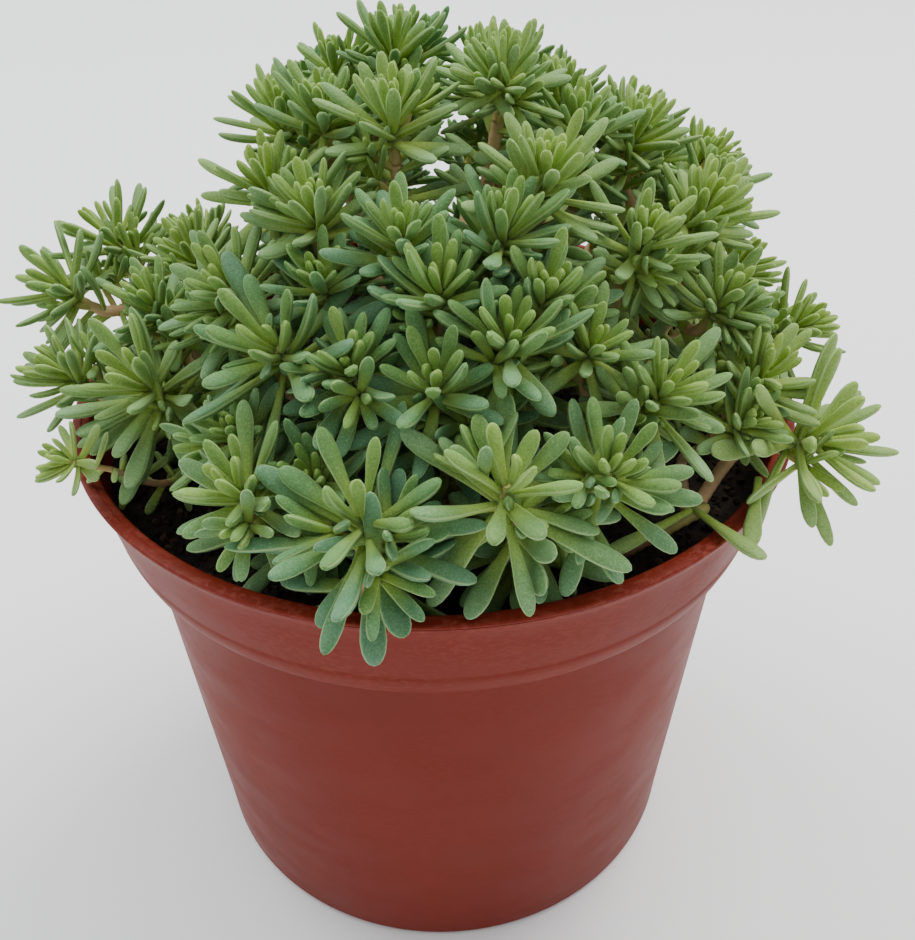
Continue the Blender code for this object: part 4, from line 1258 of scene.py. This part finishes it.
def leaf_skin():
    """Frosted, speckled skin: yellow-green at the root and in the heart, bluer with age, pale at its edge,
    and yellower and lighter with painted light on the sides and the top.
    """
    made, tree, shader = new_finish("leaf_skin")
    along, across, age, tint, yellowing_and_painted_light = (stored(tree, name) for name in ("along", "across", "age", "tint", "yellowing_and_painted_light"))
    grain = fine_grain(tree, 4300.0, 2.0, 0.7)
    tipward = calc(tree, "MULTIPLY", patches(tree, 190.0, 3.0), ramped(tree, along, 0.4, 0.95, 0.0, 0.75))
    frost = calc(tree, "MULTIPLY", tipward, ramped(tree, age, 0.3, 0.9))
    edge = calc(tree, "ABSOLUTE", across).outputs[0]
    colour = mottled(tree, seen(78, 120, 60), seen(98, 138, 72), 340.0, 2.2)
    for share, tone in (
        (ramped(tree, age, 0.4, 1.0, 0.0, 0.8), (68, 113, 78)),  # old leaves
        (frost, (98, 142, 112)),
        (ramped(tree, along, 0.75, 0.1, 0.0, 0.85), (142, 166, 58)),  # roots
        (ramped(tree, age, 0.55, 0.0, 0.0, 0.7), (136, 165, 64)),  # young leaves
        (ramped(tree, yellowing_and_painted_light, 0.2, 1.0, 0.0, 0.45), (150, 166, 58)),  # yellowed by the sun, and lighter: painted light on the sides and the top
        (ramped(tree, grain, 0.5, 0.3, 0.0, 0.32), (50, 80, 36)),  # pits
        (ramped(tree, grain, 0.52, 0.7, 0.0, 0.25), (166, 190, 136)),  # specks
        (ramped(tree, edge, 0.86, 1.0, 0.0, 0.75), (158, 182, 120)),  # margins
    ):
        colour = mixed(tree, share, colour, seen(*tone))
    lightness = ramped(tree, tint, 0.0, 1.0, 1.06, 1.27)
    shade = {"Color": colour, "Value": lightness, "Hue": 0.503, "Saturation": 0.95}
    feed(
        tree,
        shader,
        {
            "Base Color": put(tree, "ShaderNodeHueSaturation", shade),
            "Roughness": ramped(tree, grain, 0.3, 0.7, 0.5, 0.62),
            "Specular IOR Level": 0.12,
            "Subsurface Weight": 0.15,
            "Subsurface Radius": (0.6, 1.0, 0.3),
            "Subsurface Scale": 0.8 * MM,
            "Sheen Weight": 0.16,
            "Sheen Roughness": 0.35,
            "Sheen Tint": (0.8, 0.95, 0.6, 1),
        },
    )
    roughen(tree, shader, grain, 0.45, 0.07 * MM)
    return made


def yellowing_and_painted_light_of(rosette):
    """How yellow a rosette is, and how much painted light lightens it, from 0 to 1, most of all a very small
    one.
    """
    place = rosette.centre
    share = YELLOW_AND_PAINTED_LIGHT_ALL + YELLOW_AND_PAINTED_LIGHT_SIDES * abs(place.x) / LIP_RADIUS + YELLOW_AND_PAINTED_LIGHT_RIGHT * place.x / LIP_RADIUS
    share += YELLOW_AND_PAINTED_LIGHT_TOP * (place.z - POT_HEIGHT) / MOUND_RISE
    if rosette.size < SPROUTS_FROM:
        share = 1.0
    return min(1.0, max(0.0, share + either_way(random.Random(rosette.seed), YELLOW_AND_PAINTED_LIGHT_SWAY)))


def hub(rosette, whorls):
    """The place on a rosette's twig this many whorls below its centre."""
    return rosette.centre - rosette.axis * HEAD_DEPTH * whorls


crowd = Crowd()
for piece in (pot, mix, *stems):
    corners = [vertex.co.copy() for vertex in piece.data.vertices]
    crowd.add(*overlap_tree(corners, [tuple(face.vertices) for face in piece.data.polygons]))
trailing = [rosette for shoot in stem_plan[TRAILING_STEM] for rosette in shoot]
trailing_head = max(trailing, key=lambda rosette: rosette.size)
front = min(rosettes, key=lambda rosette: rosette.centre.y)
left_star = min(rosettes, key=lambda rosette: (rosette.centre - LEFT_STAR).length)
# The leaves set one by one, keyed by the rosette whose piece they join
set_leaves = {
    trailing_head.seed: leaves_to(TRAILING_FORK + FORK_RISE, FORK_TIPS, FORK_WIDTH)
    + leaves_to(hub(trailing_head, HUB_WHORLS), TRAILING_TIPS, TRAILING_WIDTH)
    + leaves_to(RIM_LEAF_ROOT, [RIM_LEAF_TIP], 1),
    front.seed: leaves_to(hub(front, front.whorls), HANGING_TIPS, HANGING_WIDTH),
    left_star.seed: leaves_to(hub(left_star, HUB_WHORLS), LEFT_TIPS, LEFT_WIDTH),
}
for leaf in (leaf for leaves in set_leaves.values() for leaf in leaves):
    crowd.add(*leaf_solid(leaf))
# The open stars take their room first, then the other heads, the side rosettes and the old leaves
grown = {}
for is_open in (True, False):
    wishes = {}
    for rosette in (rosette for rosette in rosettes if (rosette.size > OPEN_FROM) is is_open):
        share = OPEN_HEAD if is_open else LEAST_HEAD + (1 - LEAST_HEAD) * rosette.size
        wishes[rosette.seed] = head_wishes(rosette, round(HEAD_LEAVES * share))
    grown |= fitted(wishes, crowd)
sprouts = [sprout for rosette in rosettes for sprout in sprouts_of[rosette.seed]]
grown |= fitted({sprout.seed: head_wishes(sprout, SPROUT_LEAVES, *SPROUT_AGES) for sprout in sprouts}, crowd)
wishes = {}
for rosette in rosettes:
    most = TRAILING_STEM_LEAVES if rosette in trailing else STEM_LEAVES
    wishes[rosette.seed] = stem_wishes(rosette, twig_of[rosette.seed], most)
old = fitted(wishes, crowd)
spoon = leaf_blade("spoon_leaf", SPOON)
finger = leaf_blade("finger_leaf", FINGER)
leafing = leaf_tree()
skin = leaf_skin()
for number, shoot in enumerate(shoots, start=1):
    leaves, tints, yellowing_and_painted_light_shares = [], [], []
    for rosette in shoot:
        draw = random.Random(rosette.seed)
        own = draw.uniform(*ROSETTE_TINTS)
        own_leaves = grown[rosette.seed] + old[rosette.seed] + set_leaves.get(rosette.seed, [])
        for sprout in sprouts_of[rosette.seed]:
            own_leaves += grown[sprout.seed]
        leaves += own_leaves
        tints += [min(1.0, max(0.0, own + either_way(draw, LEAF_TINT_SWAY))) for _ in own_leaves]
        # Each rosette's sun yellowing, with painted light lightening the sides and the top
        yellowing_and_painted_light_shares += [yellowing_and_painted_light_of(rosette)] * len(own_leaves)
    piece = leaf_points(f"leaves_{number:02d}", leaves, tints, yellowing_and_painted_light_shares)
    grow(piece, leafing, {"Spoon": spoon, "Finger": finger, "Finish": skin})
    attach(piece, "root")
    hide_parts(f"shoot_{number:02d}")
for source in (spoon, finger):
    bpy.data.objects.remove(source)


# Floor, light and camera
# A plain pale floor under soft studio light, seen as the photo sees the pot.

FLOOR_REACH = 3.0
FLOOR_SIDES = 96
LAMP_SIZE = 0.6
LAMP_AIM = Vector((0, 0, 80 * MM))
FOCAL_PIXELS = 1050
IMAGE_HEIGHT = 940
SENSOR = 36.0
CAMERA_PLACE = Vector((0, -128.27, 159.62)) * MM
CAMERA_YAW = 0.02463
CAMERA_PITCH = math.radians(36.978)
CAMERA_ROLL = math.radians(-0.724)

shape = bmesh.new()
bmesh.ops.create_circle(shape, cap_ends=True, segments=FLOOR_SIDES, radius=FLOOR_REACH)
floor = object_of("floor", shape)
pale, tree, shader = new_finish("pale_floor")
feed(tree, shader, {"Base Color": (0.88, 0.88, 0.87, 1), "Roughness": 0.7, "Specular IOR Level": 0.1})
floor.data.materials.append(pale)

world = bpy.data.worlds.new("studio")
bpy.context.scene.world = world
world.use_nodes = True
tree = world.node_tree
direction = put(tree, "ShaderNodeTexCoord").outputs["Generated"]
axes = put(tree, "ShaderNodeSeparateXYZ", {0: direction}).outputs
above = ramped(tree, axes["Z"], 0.0, 1.0, 0.25, 1.3)
behind = ramped(tree, axes["Y"], -0.5, 0.7, 0.0, 0.7)
sky = tree.nodes["Background"]
feed(tree, sky, {"Strength": calc(tree, "ADD", above, behind), "Color": (0.94, 0.97, 1.0, 1)})


def softbox(name, place, power, colour):
    """A square soft light that faces the pot."""
    data = bpy.data.lights.new(name, "AREA")
    data.size = LAMP_SIZE
    data.energy = power
    data.color = colour
    light = new_object(name, data)
    light.location = place
    light.rotation_euler = (LAMP_AIM - light.location).to_track_quat("-Z", "Y").to_euler()


softbox("key", (0.45, 0.35, 0.9), 10.0, (1.0, 0.98, 0.95))
softbox("fill", (-0.6, 0.4, 0.8), 6.0, (0.95, 0.98, 1.0))

flat = math.cos(CAMERA_PITCH)
forward = Vector((math.sin(CAMERA_YAW) * flat, math.cos(CAMERA_YAW) * flat, -math.sin(CAMERA_PITCH)))
level = forward.cross(Vector((0, 0, 1))).normalized()
upright = level.cross(forward)
right = math.cos(CAMERA_ROLL) * level + math.sin(CAMERA_ROLL) * upright
up = math.cos(CAMERA_ROLL) * upright - math.sin(CAMERA_ROLL) * level
lens = bpy.data.cameras.new("camera")
lens.sensor_width = SENSOR
lens.lens = FOCAL_PIXELS * SENSOR / IMAGE_HEIGHT
lens.clip_start = 1 * MM
camera = new_object("camera", lens)
camera.matrix_world = Matrix.Translation(CAMERA_PLACE) @ Matrix((right, up, -forward)).transposed().to_4x4()
bpy.context.scene.camera = camera
